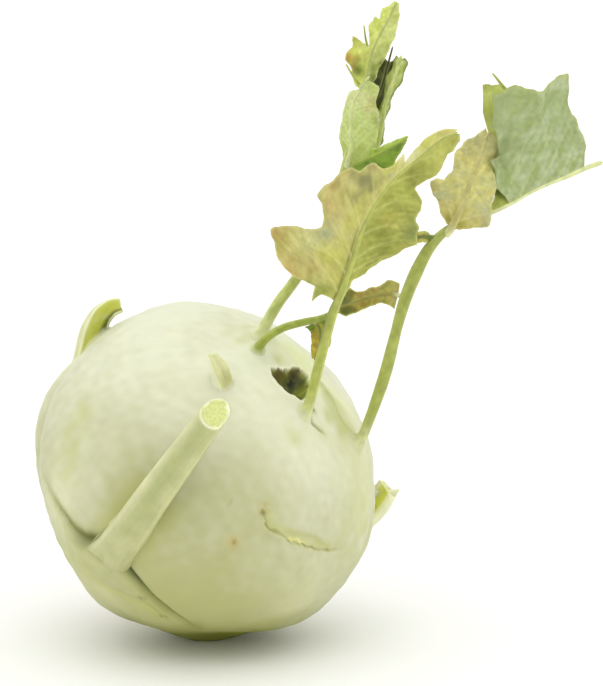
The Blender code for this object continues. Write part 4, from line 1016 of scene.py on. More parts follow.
# Margins: (station on the midrib, along, across) of the flat leaf.
MIDDLE_LEFT = [
    (2.2, -0.5, 5.9), (2.8, 3.9, 6.4), (4.4, 4.0, 12.3), (5.0, 5.5, 16.0), (5.8, 7.2, 18.1),
    (7.6, 14.2, 21.2), (8.2, 15.2, 20.4), (9.6, 16.7, 15.8), (11.0, 17.0, 11.6), (13.0, 18.2, 9.6),
    (14.5, 20.2, 10.1), (15.5, 22.5, 11.6), (17.7, 23.4, 13.7), (18.6, 25.3, 13.2),
    (19.8, 26.7, 11.9), (21.5, 29.6, 11.1), (23.5, 31.0, 10.0), (25.5, 31.4, 7.4),
    (27.0, 33.3, 7.5), (28.5, 34.6, 6.8), (31.0, 34.9, 3.7), (33.5, 36.9, 2.7), (36.5, 40.7, 3.1),
    (38.4, 39.3, 1.1), (41.5, 44.2, 2.3), (45.5, 47.6, 2.9), (49.5, 51.0, 2.4), (53.6, 54.4, 0.5),
]
MIDDLE_RIGHT = [
    (2.0, 2.0, 1.2), (8.0, 8.6, 1.3), (8.8, 10.7, 4.4), (9.4, 11.6, 4.4), (11.5, 16.2, 10.2),
    (14.5, 23.4, 14.9), (18.0, 28.5, 13.2), (21.0, 29.7, 11.1), (26.0, 37.4, 9.7),
    (29.5, 37.8, 6.2), (37.0, 43.7, 5.6), (46.0, 52.1, 4.6), (51.5, 54.2, 2.2), (53.6, 54.4, 0.5),
]
MIDDLE_LEAD = [(2.5, 2.1), (2.5, 4.4)]
# Side veins: (station on the midrib, along, across, bow) to their tips.
MIDDLE_LEFT_VEINS = [
    (4.0, 13.0, 19.0, 1.5), (9.0, 14.0, 11.0, 1.0), (13.0, 24.0, 12.0, 1.0), (20.0, 29.0, 9.6, 0.8),
    (27.0, 33.5, 6.0, 0.5), (34.0, 39.5, 2.6, 0.2), (41.0, 47.0, 2.3, 0.1),
]
MIDDLE_RIGHT_VEINS = [
    (9.5, 16.5, 9.0, 0.6), (13.0, 23.8, 13.6, 0.8), (19.0, 28.6, 11.5, 0.6), (25.0, 36.5, 9.0, 0.4),
    (33.0, 43.5, 5.2, 0.2), (41.0, 51.0, 4.4, 0.2),
]
# A leaf's look: its base, patch and streak colours, the patches' size, its border (colour, width,
# share) and veins (colour, share), its crumple (height, size), how far it puffs between veins, how
# many degrees the streaks `lean`, bands along the midrib (across, width, colour, share, how far
# along) and blots (along, across, radius, colour, share).
MIDDLE_LOOK = dict(
    base="#b9b36e", patch="#a5a358", patch_size=6.0, streak="#c6c07c", border=("#cfca86", 0.4, 0.6),
    vein=("#cfcb8c", 0.5), seed=101, crumple=(0.45, 7.0), puff=0.5,
    # The second band is a painted shadow beside the raised midrib.
    bands=[(2.6, 2.4, "#aead50", 0.65, 90.0), (1.0, 0.40, "#6d6e28", 0.80, 26.0)],
    blots=[(30.5, 5.0, 2.8, "#76764a", 0.9), (17.3, 8.3, 2.6, "#979f78", 0.8),
           (13.8, 19.5, 2.6, "#a0823a", 0.7), (8.0, 18.5, 2.2, "#b3a24e", 0.6),
           (5.0, 13.5, 2.6, "#a5883c", 0.7), (27.0, 11.4, 1.8, "#a08644", 0.7),
           (34.0, 7.0, 2.0, "#86783e", 0.7), (3.2, 5.5, 2.6, "#848f3c", 0.9),
           (14.5, 11.5, 2.5, "#c2c288", 0.7), (22.5, 9.5, 2.5, "#b29e5c", 0.6),
           (12.0, 6.5, 2.5, "#b2b44e", 0.7), (41.0, 2.0, 2.6, "#d6d6aa", 0.8),
           (46.5, 1.5, 2.5, "#b1b552", 0.7), (9.0, 9.0, 2.0, "#a3915a", 0.5)],
)
MIDDLE_SHADY = dict(
    MIDDLE_LOOK, base="#999d47", patch="#8a8e3a", streak="#b0b25a", border=("#c6c882", 0.4, 0.7),
    vein=("#bcbf74", 0.6), seed=111, bands=[(1.2, 1.6, "#a5a94c", 0.5, 90.0)],
    blots=[(26.2, 12.5, 3.2, "#7b8440", 0.9), (21.0, 5.0, 3.2, "#7a802c", 0.8),
           (39.5, 1.8, 2.6, "#7c7e28", 0.8), (34.5, 5.0, 2.5, "#aab050", 0.6),
           (26.0, 5.5, 2.2, "#aba44a", 0.6), (47.0, 3.5, 4.5, "#b3b45c", 0.8)],
)
BLADE_ROWS = 170
BLADE_COLUMNS = 44
BLADE_THICKNESS = 0.42
MIDRIB_INSET = 0.15
RIB_SIDES = 28
# A blade thins to 0.4 of its thickness within EDGE_WIDTH of its margin, which has teeth TOOTH
# high. Its first side keeps to the real margin for about LEAD_FADE. A vein stands VEIN_HEIGHT
# proud and is drawn from VEIN_STEPS places, and puffing starts PUFF_WIDTH away from it.
EDGE_THINNING = 0.4
EDGE_WIDTH = 0.7
TOOTH = 0.06
LEAD_FADE = 3.0
VEIN_HEIGHT = 0.14
VEIN_STEPS = 50
PUFF_WIDTH = 2.4
STREAK_LEAN = 52.0
# The small step, along and across, that a blade's normal is worked out from.
NUDGE = 0.01
NO_WAVE = (0.0, 9.0, 0.0)


def bent(route, flat, side, facing, fold, curl):
    """Places a flat pattern (along, across) on a leaf.

    Across turns up by `fold` degrees at the midrib and by `curl` degrees more for each
    millimetre out, so it follows an arc: the integral of that angle's cosine and sine."""
    distance, across = flat[..., 0], flat[..., 1]
    place, heading = walk(route, distance)
    left = unit(np.cross(facing, heading))
    front = np.cross(heading, left)
    start, rate = math.radians(fold), math.radians(curl)
    if abs(rate) < 1e-6:
        out, up = across * math.cos(start), across * math.sin(start)
    else:
        out = (np.sin(start + rate * across) - math.sin(start)) / rate
        up = (math.cos(start) - np.cos(start + rate * across)) / rate
    return place + side * out[..., None] * left + up[..., None] * front


def margin_rows(margin, count, seed):
    """Even rows along the margin, corners rounded by a running mean, with small teeth.

    The teeth are two sine waves square to the margin, about 3 and 1.3 mm long."""
    rows = np.array(margin, float)
    passed = np.concatenate([[0], np.cumsum(np.hypot(*np.diff(rows[:, 1:], axis=0).T))])
    place = np.linspace(0, passed[-1], count)
    fine = np.stack([np.interp(place, passed, rows[:, k]) for k in range(3)], -1)
    half = max(1, round(0.7 * count / passed[-1]))
    window = np.hanning(2 * half + 3)[1:-1]
    padded = np.pad(fine, ((half, half), (0, 0)), mode="edge")
    soft = np.stack([np.convolve(padded[:, k], window / window.sum(), "valid") for k in range(3)], -1)
    heading = unit(np.gradient(soft[:, 1:], axis=0) + 1e-9)
    teeth = np.sin(place * 2 * math.pi / 3.1 + seed) + 0.6 * np.sin(place * 2 * math.pi / 1.3 + 2 * seed)
    teeth *= TOOTH * ends(place / passed[-1], 0.05)
    soft[:, 1] -= heading[:, 1] * teeth
    soft[:, 2] += heading[:, 0] * teeth
    return soft


def flat_pattern(rows, lead, columns):
    """Grid of flat points from the midrib out to the margin, whose first side follows `lead`."""
    share = np.linspace(0, 1, columns)
    root = np.stack([rows[:, 0], np.full(len(rows), MIDRIB_INSET)], -1)
    edge = rows[:, 1:]
    flat = root[:, None] + share[None, :, None] * (edge - root)[:, None]
    side = np.array([root[0], *lead, edge[0]])
    reach = np.concatenate([[0], np.cumsum(np.linalg.norm(np.diff(side, axis=0), axis=1))])
    curved = np.stack([np.interp(share, reach / reach[-1], side[:, k]) for k in range(2)], -1)
    passed = np.concatenate([[0], np.cumsum(np.linalg.norm(np.diff(edge, axis=0), axis=1))])
    return flat + np.exp(-passed / LEAD_FADE)[:, None, None] * (curved - flat[0])[None]


def vein_field(flat, veins):
    """(vein strength, mm to the nearest vein) over a flat leaf: bells round bowed lines."""
    near = 0.8 * bell(flat[..., 1], 0.55)
    gap = flat[..., 1].copy()
    step = np.linspace(0, 1, VEIN_STEPS)[:, None]
    for station, end_along, end_across, bow in veins:
        start, end = np.array([station, 0.0]), np.array([end_along, end_across])
        sideways = unit(np.array([end_across, station - end_along]) + 1e-9)
        line = start + step * (end - start) + bow * 4 * step * (1 - step) * sideways
        distance = np.linalg.norm(flat[..., None, :] - line, axis=-1)
        nearest = distance.argmin(axis=-1)
        distance = distance.min(axis=-1)
        taper = 1 - 0.8 * nearest / (VEIN_STEPS - 1)
        near = np.maximum(near, taper * bell(distance, 0.14 + 0.22 * taper))
        gap = np.minimum(gap, distance)
    return near, gap


def blade_colour(flat, place, edge, near, look):
    """A leaf's own colour: patches, slanting streaks, bands, blots, then its border and veins."""
    colour = np.tile(linear(look["base"]), flat.shape[:-1] + (1,))
    patch = ease(waves(place, look["patch_size"], look["seed"]), -0.6, 1.2)
    colour = washed(colour, look["patch"], 0.8 * patch)
    distance, across = flat[..., 0], flat[..., 1]
    lean = math.radians(look.get("lean", STREAK_LEAN))
    slanted = np.stack([(distance * math.cos(lean) + across * math.sin(lean)) / 5.0,
                        across * math.cos(lean) - distance * math.sin(lean), 0 * distance], -1)
    colour = washed(colour, look["streak"], 0.6 * ease(waves(slanted, 1.9, look["seed"] + 5), -0.1, 1.3))
    for offset, size, hex_colour, share, reach in look.get("bands", ()):
        fading = 1 - ease(distance, 0.6 * reach, reach)
        colour = washed(colour, hex_colour, share * fading * bell(across - offset, size))
    ragged = 1 + 0.25 * waves(place, 3.5, look["seed"] + 1)
    for blot_along, blot_across, size, hex_colour, share in look["blots"]:
        away = np.hypot(distance - blot_along, across - blot_across)
        colour = washed(colour, hex_colour, share * bell(away * ragged, size))
    hex_colour, width, share = look["border"]
    colour = washed(colour, hex_colour, share * bell(edge, width))
    hex_colour, share = look["vein"]
    colour = washed(colour, hex_colour, share * near)
    return colour * (1 + 0.05 * waves(place, 1.4, look["seed"] + 2))[..., None]


def blade(route, facing, side, fold, curl, margin, wave, look, veins=(), lead=(), count=BLADE_ROWS,
          columns=BLADE_COLUMNS):
    """Half a leaf as a thin closed sheet: (points, triangles, colours, grain).

    The bent surface is moved along its normal by a ripple towards the margin, by smooth crumple,
    outwards on the veins, and inwards between them, then given half its thickness either way.
    `wave` is the ripple's height, length and phase."""
    rows = margin_rows(margin, count, look["seed"])
    flat = flat_pattern(rows, lead, columns)
    share = np.linspace(0, 1, columns)[None, :]
    points = bent(route, flat, side, facing, fold, curl)
    lifted = bent(route, flat + [0.0, NUDGE], side, facing, fold, curl)
    onward = bent(route, flat + [NUDGE, 0.0], side, facing, fold, curl)
    normal = unit(np.cross(onward - points, lifted - points) * side)
    near, gap = vein_field(flat, veins)
    height, length, phase = wave
    ripple = side * height * share**1.5 * np.sin(2 * math.pi * flat[..., 0] / length + phase)
    place = np.concatenate([flat, np.zeros(flat.shape[:-1] + (1,))], -1)
    crumple = look["crumple"][0] * share * waves(place, look["crumple"][1], look["seed"] + 3)
    puff = -look["puff"] * (1 - bell(gap, PUFF_WIDTH))
    points = points + (ripple + crumple + puff + VEIN_HEIGHT * near)[..., None] * normal
    edge = (1 - share) * np.linalg.norm(flat[:, -1:] - flat[:, :1], axis=-1)
    thinned = EDGE_THINNING + (1 - EDGE_THINNING) * ease(edge, 0, EDGE_WIDTH)
    half = 0.5 * BLADE_THICKNESS * thinned[..., None] * normal
    points, triangles = sheet(points + half, points - half)
    colour = blade_colour(flat, place, edge, near, look).reshape(-1, 3)
    grain = (place + [0, 0, look["seed"]]).reshape(-1, 3)
    return points, triangles, np.vstack([colour, colour]), np.vstack([grain, grain])


def sheet(front, back):
    """Closed thin solid between two grids of points: both grids, and a wall round their rim."""
    rows, columns = front.shape[:2]
    size = rows * columns
    index = np.arange(size).reshape(rows, columns)
    upper = grid_triangles(rows, columns, wrap=False)
    rim = np.concatenate([index[:, 0], index[-1, 1:], index[-2::-1, -1], index[0, -2:0:-1]])
    after = np.roll(rim, -1)
    wall = np.vstack([np.stack([after, rim, rim + size], -1),
                      np.stack([after, rim + size, after + size], -1)])
    points = np.vstack([front.reshape(-1, 3), back.reshape(-1, 3)])
    return points, np.vstack([upper, upper[:, ::-1] + size, wall[:, ::-1]])


def rib(route, radii, facing, paint, count, rooted=None):
    """A stalk or midrib with a rounded tip; `rooted` is the (spread, rise) of its foot on the bulb.

    The radius near the tip follows a quarter circle down to a point."""
    stem = (smooth_route(route), radii, facing, round_section)
    length = route_length(stem[0])
    turn = 360.0 * np.arange(RIB_SIDES) / RIB_SIDES
    if rooted is None:
        skirt, start = np.zeros((0, RIB_SIDES, 3)), np.zeros(RIB_SIDES)
    else:
        skirt, start = skirt_rings(stem, turn, rooted[0] + 0 * turn, rooted[1] + 0 * turn)
    step = np.linspace(0, 1, count)[1 if len(skirt) else 0:, None]
    distance = start + step * (length - start)
    tube = stem_points(stem, distance, turn + 0 * step)
    place, _ = walk(stem[0], distance)
    tip = np.sqrt(np.clip(1 - np.clip((distance - length + radii[-1]) / radii[-1], 0, 1) ** 2, 0.02, 1))
    tube = place + (tube - place) * tip[..., None]
    rings = np.concatenate([skirt, tube])
    points = np.vstack([rings.reshape(-1, 3), rings[0].mean(axis=0)[None], rings[-1].mean(axis=0)[None]])
    share = np.concatenate([np.zeros((len(skirt), RIB_SIDES)) + start, distance]) / length
    foot = np.concatenate([np.ones(1), np.linspace(1, 0, SKIRT_RINGS), np.zeros(len(tube))])[-len(rings):]
    foot = foot if len(skirt) else np.zeros(len(rings))
    share, turn, foot = (np.append(value, [value.flat[0], value.flat[-1]]) for value in
                         (share, np.tile(turn, len(rings)), np.repeat(foot, RIB_SIDES)))
    colour = stem_colour(points, paint(points, share, turn), foot, RIB_SIDES)
    return points, tube_triangles(len(rings), RIB_SIDES), colour, grain_along(share, turn, 1.5)


def rib_paint(edge, front, tip=None, shade=None):
    """Stalk colours: pale ridges beside a greener groove, partly the stalk's own colour and partly
    painted highlight and shade, a brownish line of painted shade down one side, cream at the foot.

    `tip` is the far end's colour, and `shade` the two shares of the length that one side's painted
    shadow lies between."""
    def paint(points, share, turn):
        colour = np.tile(linear(edge), (len(points), 1))
        # The groove's greener colour and the pale ridges are partly painted shade and highlight.
        groove = bell(far_round(turn, 90.0), 38.0) + 0.6 * bell(far_round(turn, 270.0), 60.0)
        colour = washed(colour, front, 0.85 * groove * (1 + 0.2 * waves(points, 5.0, 71)))
        # A line of painted shade down one side.
        colour = washed(colour, "#8c8846", 0.45 * bell(far_round(turn, 128.0), 9.0))
        colour = washed(colour, "#dcdfb0", 0.75 * (1 - ease(share, 0.02, 0.14)))
        # Painted shadow down one side, between two shares of the length.
        if shade is not None:
            shaded = ease(share, shade[0], shade[0] + 0.06) * (1 - ease(share, shade[1] - 0.06, shade[1]))
            colour = washed(colour, "#6c6e2c", 0.75 * shaded * bell(far_round(turn, 30.0), 34.0))
        if tip is not None:
            colour = washed(colour, tip, ease(share, 0.58, 0.75))
        return colour * (1 + 0.06 * waves(points, 2.0, 72))[:, None]
    return paint


def leaf_piece(name, node, parts, material):
    """Several closed meshes as one piece, which rides with the bulb and stands for its leaf."""
    starts = np.cumsum([0] + [len(part[0]) for part in parts[:-1]])
    triangles = [outward(part[0] - part[0].mean(axis=0), part[1]) + start
                 for part, start in zip(parts, starts)]
    points, colours, grain = (np.vstack([part[k] for part in parts]) for k in (0, 2, 3))
    piece = make_piece(name, points, np.vstack(triangles), colours, grain, [material])
    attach(piece, "root")
    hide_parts(node)


def leaf_material(name, cell, network, roughness, subsurface):
    """Thin leaf: the point's tint, painted shade included, with a net of the finest veins `cell` mm wide on
    it.

    The net is the paler border between Voronoi cells of the flat leaf's millimetres."""
    material = plant_material(name, (2.2, 0.05), (2.5, 0.03), (0.8, 0.25, 0.06), roughness,
                              subsurface, 1.0)
    tree = material.node_tree
    shader = tree.nodes["Principled BSDF"]
    grain = add_node(tree, "ShaderNodeAttribute", attribute_name="grain")
    cells = add_node(tree, "ShaderNodeTexVoronoi", {"Vector": grain.outputs["Vector"], "Scale": 1 / cell},
                     feature="DISTANCE_TO_EDGE")
    net = add_node(tree, "ShaderNodeMapRange",
                   {"Value": cells.outputs["Distance"], "From Min": 0.0, "From Max": 0.22,
                    "To Min": 1 + network, "To Max": 1 - 0.4 * network})
    old = shader.inputs["Base Color"].links[0].from_socket
    shade = add_node(tree, "ShaderNodeVectorMath", {0: old, "Scale": net.outputs["Result"]},
                     operation="SCALE")
    tree.links.new(shade.outputs["Vector"], shader.inputs["Base Color"])
    return material


# Wilting leaf: thin, limp tissue with little wax, seen mostly from below, so it is dull, lets a
# little light through, and shows the web of its finest veins.
LEAF_UNDERSIDE = leaf_material("wilting_leaf_underside", 1.1, 0.030, (0.50, 0.68), 0.12)


middle_midrib = smooth_route(MIDDLE_ROUTE[4:])
leaf_piece("middle_leaf_stalk", "leaf_middle", [
    rib(MIDDLE_ROUTE, MIDDLE_RADII, MIDDLE_FORWARD, rib_paint("#b4ba60", "#9aa348", shade=(0.24, 0.66)),
        130, rooted=(1.6, 2.5)),
], STALK_SKIN)
leaf_piece("middle_leaf_blade", "leaf_middle", [
    blade(middle_midrib, MIDDLE_FORWARD, 1, -6, 0.6, MIDDLE_LEFT, (0.8, 13.0, 0.5), MIDDLE_LOOK,
          MIDDLE_LEFT_VEINS, MIDDLE_LEAD),
    blade(middle_midrib, MIDDLE_FORWARD, -1, -38, 0.5, MIDDLE_RIGHT, (0.6, 12.0, 0.0),
          MIDDLE_SHADY, MIDDLE_RIGHT_VEINS),
], LEAF_UNDERSIDE)


# ---------------------------------------------------------------- right leaf
# The longest leaf, folded up along its midrib so that its waxy blue-green top shows in front.
# A loose lobe hangs at its base, and a withered leaflet and a small spur grow on its stalk.

RIGHT_ROUTE = [
    (36.3, -12.7, 50.2), (37.7, -16.5, 54.5), (40.7, -19.5, 63.3), (43.4, -20.5, 72.0),
    (45.5, -20.5, 80.6), (47.6, -19.7, 88.2), (50.3, -18.4, 95.0), (53.9, -16.7, 101.5),
    (58.3, -15.0, 105.6), (63.0, -14.0, 107.5), (69.0, -12.5, 109.4), (74.0, -11.0, 111.5),
    (78.5, -9.5, 113.9), (83.0, -8.5, 115.9), (87.5, -7.0, 117.5), (92.0, -5.5, 119.3),
    (96.6, -4.3, 120.8),
]
RIGHT_RADII = [1.6, 1.25, 1.3, 1.5, 1.5, 1.3, 1.5, 1.65, 1.4, 1.0, 0.65, 0.45, 0.40, 0.42, 0.62, 0.55]
RIGHT_FORWARD = (0.1, -0.95, 0.25)
RIGHT_NEAR = [
    (16.5, 23.8, 26.2), (18.0, 25.2, 25.1), (20.0, 28.0, 26.0), (21.0, 29.1, 24.2),
    (22.5, 31.2, 23.0), (25.0, 34.4, 21.6), (27.5, 37.3, 22.8), (29.5, 40.0, 23.5),
    (31.0, 42.4, 23.3), (32.0, 41.6, 20.8), (33.0, 40.0, 17.3), (34.0, 39.8, 13.5),
    (35.0, 40.7, 12.3), (36.0, 40.1, 8.6), (36.8, 40.1, 4.8), (37.4, 38.7, 1.7),
]
RIGHT_NEAR_LEAD = [
    (16.3, 2.4), (15.2, 5.0), (15.7, 6.7), (16.8, 9.2), (16.3, 12.1), (20.0, 11.6),
    (21.9, 16.6), (21.6, 18.9), (23.1, 22.2),
]
RIGHT_FAR = [
    (10.0, 25.2, 31.2), (13.0, 27.5, 30.4), (16.5, 30.0, 29.5), (20.0, 33.0, 25.0),
    (23.5, 36.5, 23.0), (27.0, 38.0, 18.5), (29.5, 40.5, 17.0), (32.5, 40.5, 11.0),
    (35.5, 40.5, 5.5), (37.4, 38.7, 1.7),
]
RIGHT_FAR_LEAD = [(14.0, 3.0), (17.5, 8.0), (18.7, 14.0), (22.4, 19.0), (23.3, 25.0)]
RIGHT_LOBE_ROUTE = [
    (58.0, -15.3, 104.5), (59.1, -16.9, 106.3), (61.5, -17.0, 111.5), (64.0, -14.0, 117.5),
    (66.5, -10.5, 123.0), (68.5, -6.5, 128.5),
]
LOBE_FACING = (-0.15, -0.95, 0.25)
LOBE_LEFT = [
    (0.4, 0.2, 1.5), (1.5, 2.0, 3.8), (3.5, 6.6, 8.2), (5.0, 10.1, 9.9), (6.5, 11.4, 8.3),
    (8.5, 11.6, 6.6), (11.0, 13.6, 5.9), (15.0, 17.9, 6.3), (20.0, 23.5, 5.8), (23.0, 24.9, 3.8),
    (26.5, 27.9, 0.9),
]
LOBE_RIGHT = [
    (0.3, 0.1, 1.8), (1.4, 2.2, 4.5), (2.5, 3.8, 8.2), (5.0, 8.0, 7.1), (9.0, 11.6, 6.6),
    (12.5, 15.0, 6.2), (15.0, 17.9, 3.7), (18.0, 20.5, 3.9), (21.0, 23.0, 3.4), (26.5, 27.8, 0.9),
]
LEAFLET_ROUTE = [
    (47.0, -18.8, 90.0), (44.0, -17.5, 90.2), (39.5, -15.0, 89.0), (35.0, -12.5, 87.0), (31.5, -10.0, 85.5),
]
LEAFLET_FACING = (0.0, -0.95, 0.3)
LEAFLET_LOW = [
    (0.8, 1.2, 3.6), (2.5, 2.8, 2.9), (5.5, 6.0, 1.9), (10.0, 10.7, 2.3), (15.0, 16.5, 2.6),
    (18.0, 19.0, 1.0),
]
LEAFLET_HIGH = [
    (0.8, 1.4, 3.2), (3.0, 4.1, 3.8), (5.5, 6.8, 2.4), (10.5, 11.9, 2.5), (13.0, 14.2, 4.3),
    (16.0, 17.0, 4.0), (18.0, 19.0, 1.0),
]
SPUR_ROUTE = [(56.0, -15.8, 103.3), (54.5, -16.2, 103.7), (52.0, -17.5, 104.2), (49.0, -18.0, 103.5)]
SPUR = [(0.6, 0.8, 1.0), (2.0, 2.5, 1.5), (4.0, 4.5, 1.3), (5.2, 5.8, 0.4)]
# A dried tip that stands up behind the blade.
FAR_SPIKE = [(72.4, -7.5, 138.8), (70.8, -8.4, 140.8), (69.0, -9.2, 143.0)]
NEAR_LOOK = dict(
    base="#a5b086", patch="#95a26c", patch_size=5.0, streak="#8b9a54", lean=40.0,
    border=("#b9c478", 0.5, 0.7), vein=("#b9c292", 0.6), seed=121, crumple=(0.5, 8.0), puff=0.35,
    blots=[(19.8, 12.5, 3.5, "#76834a", 0.8), (18.0, 6.0, 3.0, "#8d9c60", 0.6),
           (20.0, 20.0, 5.0, "#86925c", 0.7), (30.0, 21.0, 4.0, "#94a166", 0.6),
           (38.0, 14.0, 4.0, "#93a06e", 0.6)],
)
FAR_LOOK = dict(
    base="#a6af54", patch="#98a248", patch_size=5.0, streak="#aab45c", border=("#bcc470", 0.4, 0.6),
    vein=("#bcc478", 0.4), seed=131, crumple=(0.5, 6.0), puff=0.3,
    blots=[(16.0, 4.5, 2.0, "#4f5a1c", 0.85), (18.0, 8.0, 1.6, "#8fae3c", 0.7)],
)
LOBE_LOOK = dict(
    base="#bbb66c", patch="#b0aa60", patch_size=6.0, streak="#c8c480", border=("#c6c088", 0.4, 0.6),
    vein=("#c4be86", 0.6), seed=141, crumple=(0.4, 5.0), puff=0.3,
    blots=[(1.5, 1.2, 1.8, "#93892a", 0.8), (24.0, 2.0, 4.0, "#918f62", 0.7),
           (8.0, 9.0, 2.0, "#8f7c3c", 0.6), (5.0, 6.0, 2.2, "#a88f44", 0.6),
           (14.0, 4.5, 2.5, "#a8ac78", 0.5), (7.5, 0.5, 1.5, "#a8ae74", 0.5),
           (7.0, 6.0, 2.6, "#a2a880", 0.8)],
)
LEAFLET_LOOK = dict(
    base="#a6a54a", patch="#8c873a", patch_size=3.5, streak="#958238", border=("#b8bd5c", 0.4, 0.8),
    vein=("#a99a52", 0.4), seed=151, crumple=(0.35, 3.5), puff=0.2,
    blots=[(16.5, 1.5, 3.2, "#48541c", 0.85), (1.5, 1.5, 2.4, "#b7aa6a", 0.7),
           (11.0, 1.0, 2.2, "#95682a", 0.45)],
)
NEAR_VEINS = [
    (4.0, 22.0, 19.0, 2.0), (9.0, 26.0, 24.0, 2.0), (14.0, 33.0, 21.5, 1.5), (19.0, 40.5, 21.5, 1.2),
    (24.0, 39.0, 14.0, 0.8), (29.5, 39.5, 8.5, 0.4),
]
LOBE_VEINS_LEFT = [(1.0, 9.0, 8.6, 0.6), (5.0, 16.5, 5.8, 0.4), (11.0, 22.5, 5.3, 0.3)]
LOBE_VEINS_RIGHT = [(1.5, 6.5, 6.6, 0.5), (6.0, 13.8, 5.8, 0.3), (12.0, 21.0, 3.3, 0.2)]

right_midrib = smooth_route(RIGHT_ROUTE[8:16])
lobe_rib = smooth_route(RIGHT_LOBE_ROUTE[1:])
leaflet_rib = smooth_route(LEAFLET_ROUTE)
spur_rib = smooth_route(SPUR_ROUTE[1:])
leaf_piece("right_leaf_stalk", "leaf_right", [
    rib(RIGHT_ROUTE, RIGHT_RADII, RIGHT_FORWARD, rib_paint("#aab05a", "#8c9840", "#c9ce94"), 160,
        rooted=(1.6, 2.5)),
    rib(RIGHT_LOBE_ROUTE, [1.0, 0.75, 0.55, 0.35], LOBE_FACING, rib_paint("#bfb97c", "#a8a25e"), 60),
    rib(LEAFLET_ROUTE, [0.55, 0.42, 0.30], LEAFLET_FACING, rib_paint("#a09a4c", "#8c863e"), 50),
    rib(FAR_SPIKE, [0.45, 0.35, 0.20], RIGHT_FORWARD, rib_paint("#a8b158", "#8f9a44"), 30),
    rib(SPUR_ROUTE, [0.9, 0.7, 0.5], RIGHT_FORWARD, rib_paint("#7f8f3a", "#62702a"), 30),
], STALK_SKIN)
leaf_piece("right_leaf_blade", "leaf_right", [
    blade(right_midrib, RIGHT_FORWARD, 1, 12, 0.2, RIGHT_NEAR, (0.5, 14.0, 0.3), NEAR_LOOK, NEAR_VEINS,
          RIGHT_NEAR_LEAD),
    blade(right_midrib, RIGHT_FORWARD, -1, -154, -0.4, RIGHT_FAR, (0.6, 12.0, 1.0), FAR_LOOK, (),
          RIGHT_FAR_LEAD),
], LEAF_UNDERSIDE)
leaf_piece("right_leaf_lobe", "leaf_right", [
    blade(lobe_rib, LOBE_FACING, 1, -10, -0.3, LOBE_LEFT, (0.4, 9.0, 0.5), LOBE_LOOK, LOBE_VEINS_LEFT),
    blade(lobe_rib, LOBE_FACING, -1, -14, -0.3, LOBE_RIGHT, (0.4, 9.0, 0.5), LOBE_LOOK, LOBE_VEINS_RIGHT),
], LEAF_UNDERSIDE)
leaf_piece("right_leaf_leaflets", "leaf_right", [
    blade(leaflet_rib, LEAFLET_FACING, side, -15, 0.0, margin, NO_WAVE, LEAFLET_LOOK, count=90, columns=20)
    for side, margin in ((1, LEAFLET_LOW), (-1, LEAFLET_HIGH))
] + [
    blade(spur_rib, RIGHT_FORWARD, side, 5, 0.0, SPUR, NO_WAVE, LEAFLET_LOOK, count=40, columns=12)
    for side in (1, -1)
], LEAF_UNDERSIDE)


# ---------------------------------------------------------------- back leaf
# The tallest leaf, crumpled as it wilts: a pale panel in front, rolled lobes above it with a dark
# sheet and stalk inside them as painted shade, and one fresh green tongue at the side.

BACK_ROUTE = [
    (12.6, -10.1, 76.4), (13.5, -12.9, 80.6), (17.1, -13.3, 87.1), (21.4, -11.8, 92.8),
    (26.7, -8.4, 100.4), (31.1, -4.9, 108.6), (33.3, -1.0, 118.0), (35.0, 0.0, 125.0),
    (36.5, 2.5, 131.5), (38.0, 4.0, 136.5), (39.0, 4.5, 141.0), (40.0, 4.5, 146.0),
    (42.0, 6.0, 150.5), (44.5, 8.0, 155.0), (46.5, 9.5, 159.0),
]
BACK_RADII = [1.7, 1.4, 1.35, 1.3, 1.25, 1.2, 1.1, 0.9, 0.5, 0.35, 0.32, 0.30, 0.28]
BACK_FORWARD = (-0.1, -0.98, 0.12)
PANEL_ROUTE = [
    (33.4, -0.8, 118.0), (35.0, -2.0, 123.5), (35.0, -2.5, 129.0), (35.5, -2.0, 134.5),
    (37.5, -1.0, 138.5), (39.5, -1.0, 141.5),
]
PANEL_LEFT = [
    (0.6, 1.2, 1.2), (4.5, 6.7, 4.3), (7.5, 9.4, 4.3), (12.0, 14.3, 3.1), (15.0, 16.9, 2.6),
    (18.0, 19.6, 3.1), (19.5, 20.8, 1.4), (23.5, 24.2, 0.5),
]
PANEL_RIGHT = [
    (0.6, 2.5, 2.8), (2.5, 5.2, 5.1), (4.5, 7.0, 6.3), (8.0, 10.5, 6.9), (12.0, 14.2, 6.7),
    (16.0, 19.0, 6.6), (18.0, 20.8, 4.6), (20.0, 22.8, 4.4), (22.0, 24.6, 3.4), (23.5, 24.2, 0.5),
]
UPPER_LEFT = [
    (0.8, 1.6, 2.1), (3.0, 4.4, 4.6), (4.5, 6.5, 5.3), (5.5, 7.3, 6.6), (7.0, 9.0, 6.4),
    (8.0, 10.7, 5.6), (9.0, 13.3, 7.0), (9.8, 12.6, 3.8), (11.0, 12.0, 1.8), (13.5, 14.7, 2.7),
    (15.0, 16.1, 3.7), (17.5, 20.0, 4.0), (18.5, 19.4, 2.5), (20.5, 22.2, 2.7), (22.0, 23.0, 1.0),
    (24.8, 25.2, 0.5),
]
UPPER_RIGHT = [
    (0.5, 0.9, 1.1), (3.0, 4.1, 2.2), (8.0, 9.5, 3.6), (12.0, 13.5, 3.7), (16.5, 18.0, 3.7),
    (21.0, 22.0, 2.3), (24.8, 25.2, 0.5),
]
ROLL_ROUTE = [
    (36.5, 2.0, 119.0), (41.0, 2.8, 123.0), (42.5, 4.0, 128.0), (43.5, 5.0, 134.0),
    (45.5, 5.5, 139.5), (47.5, 6.0, 146.0),
]
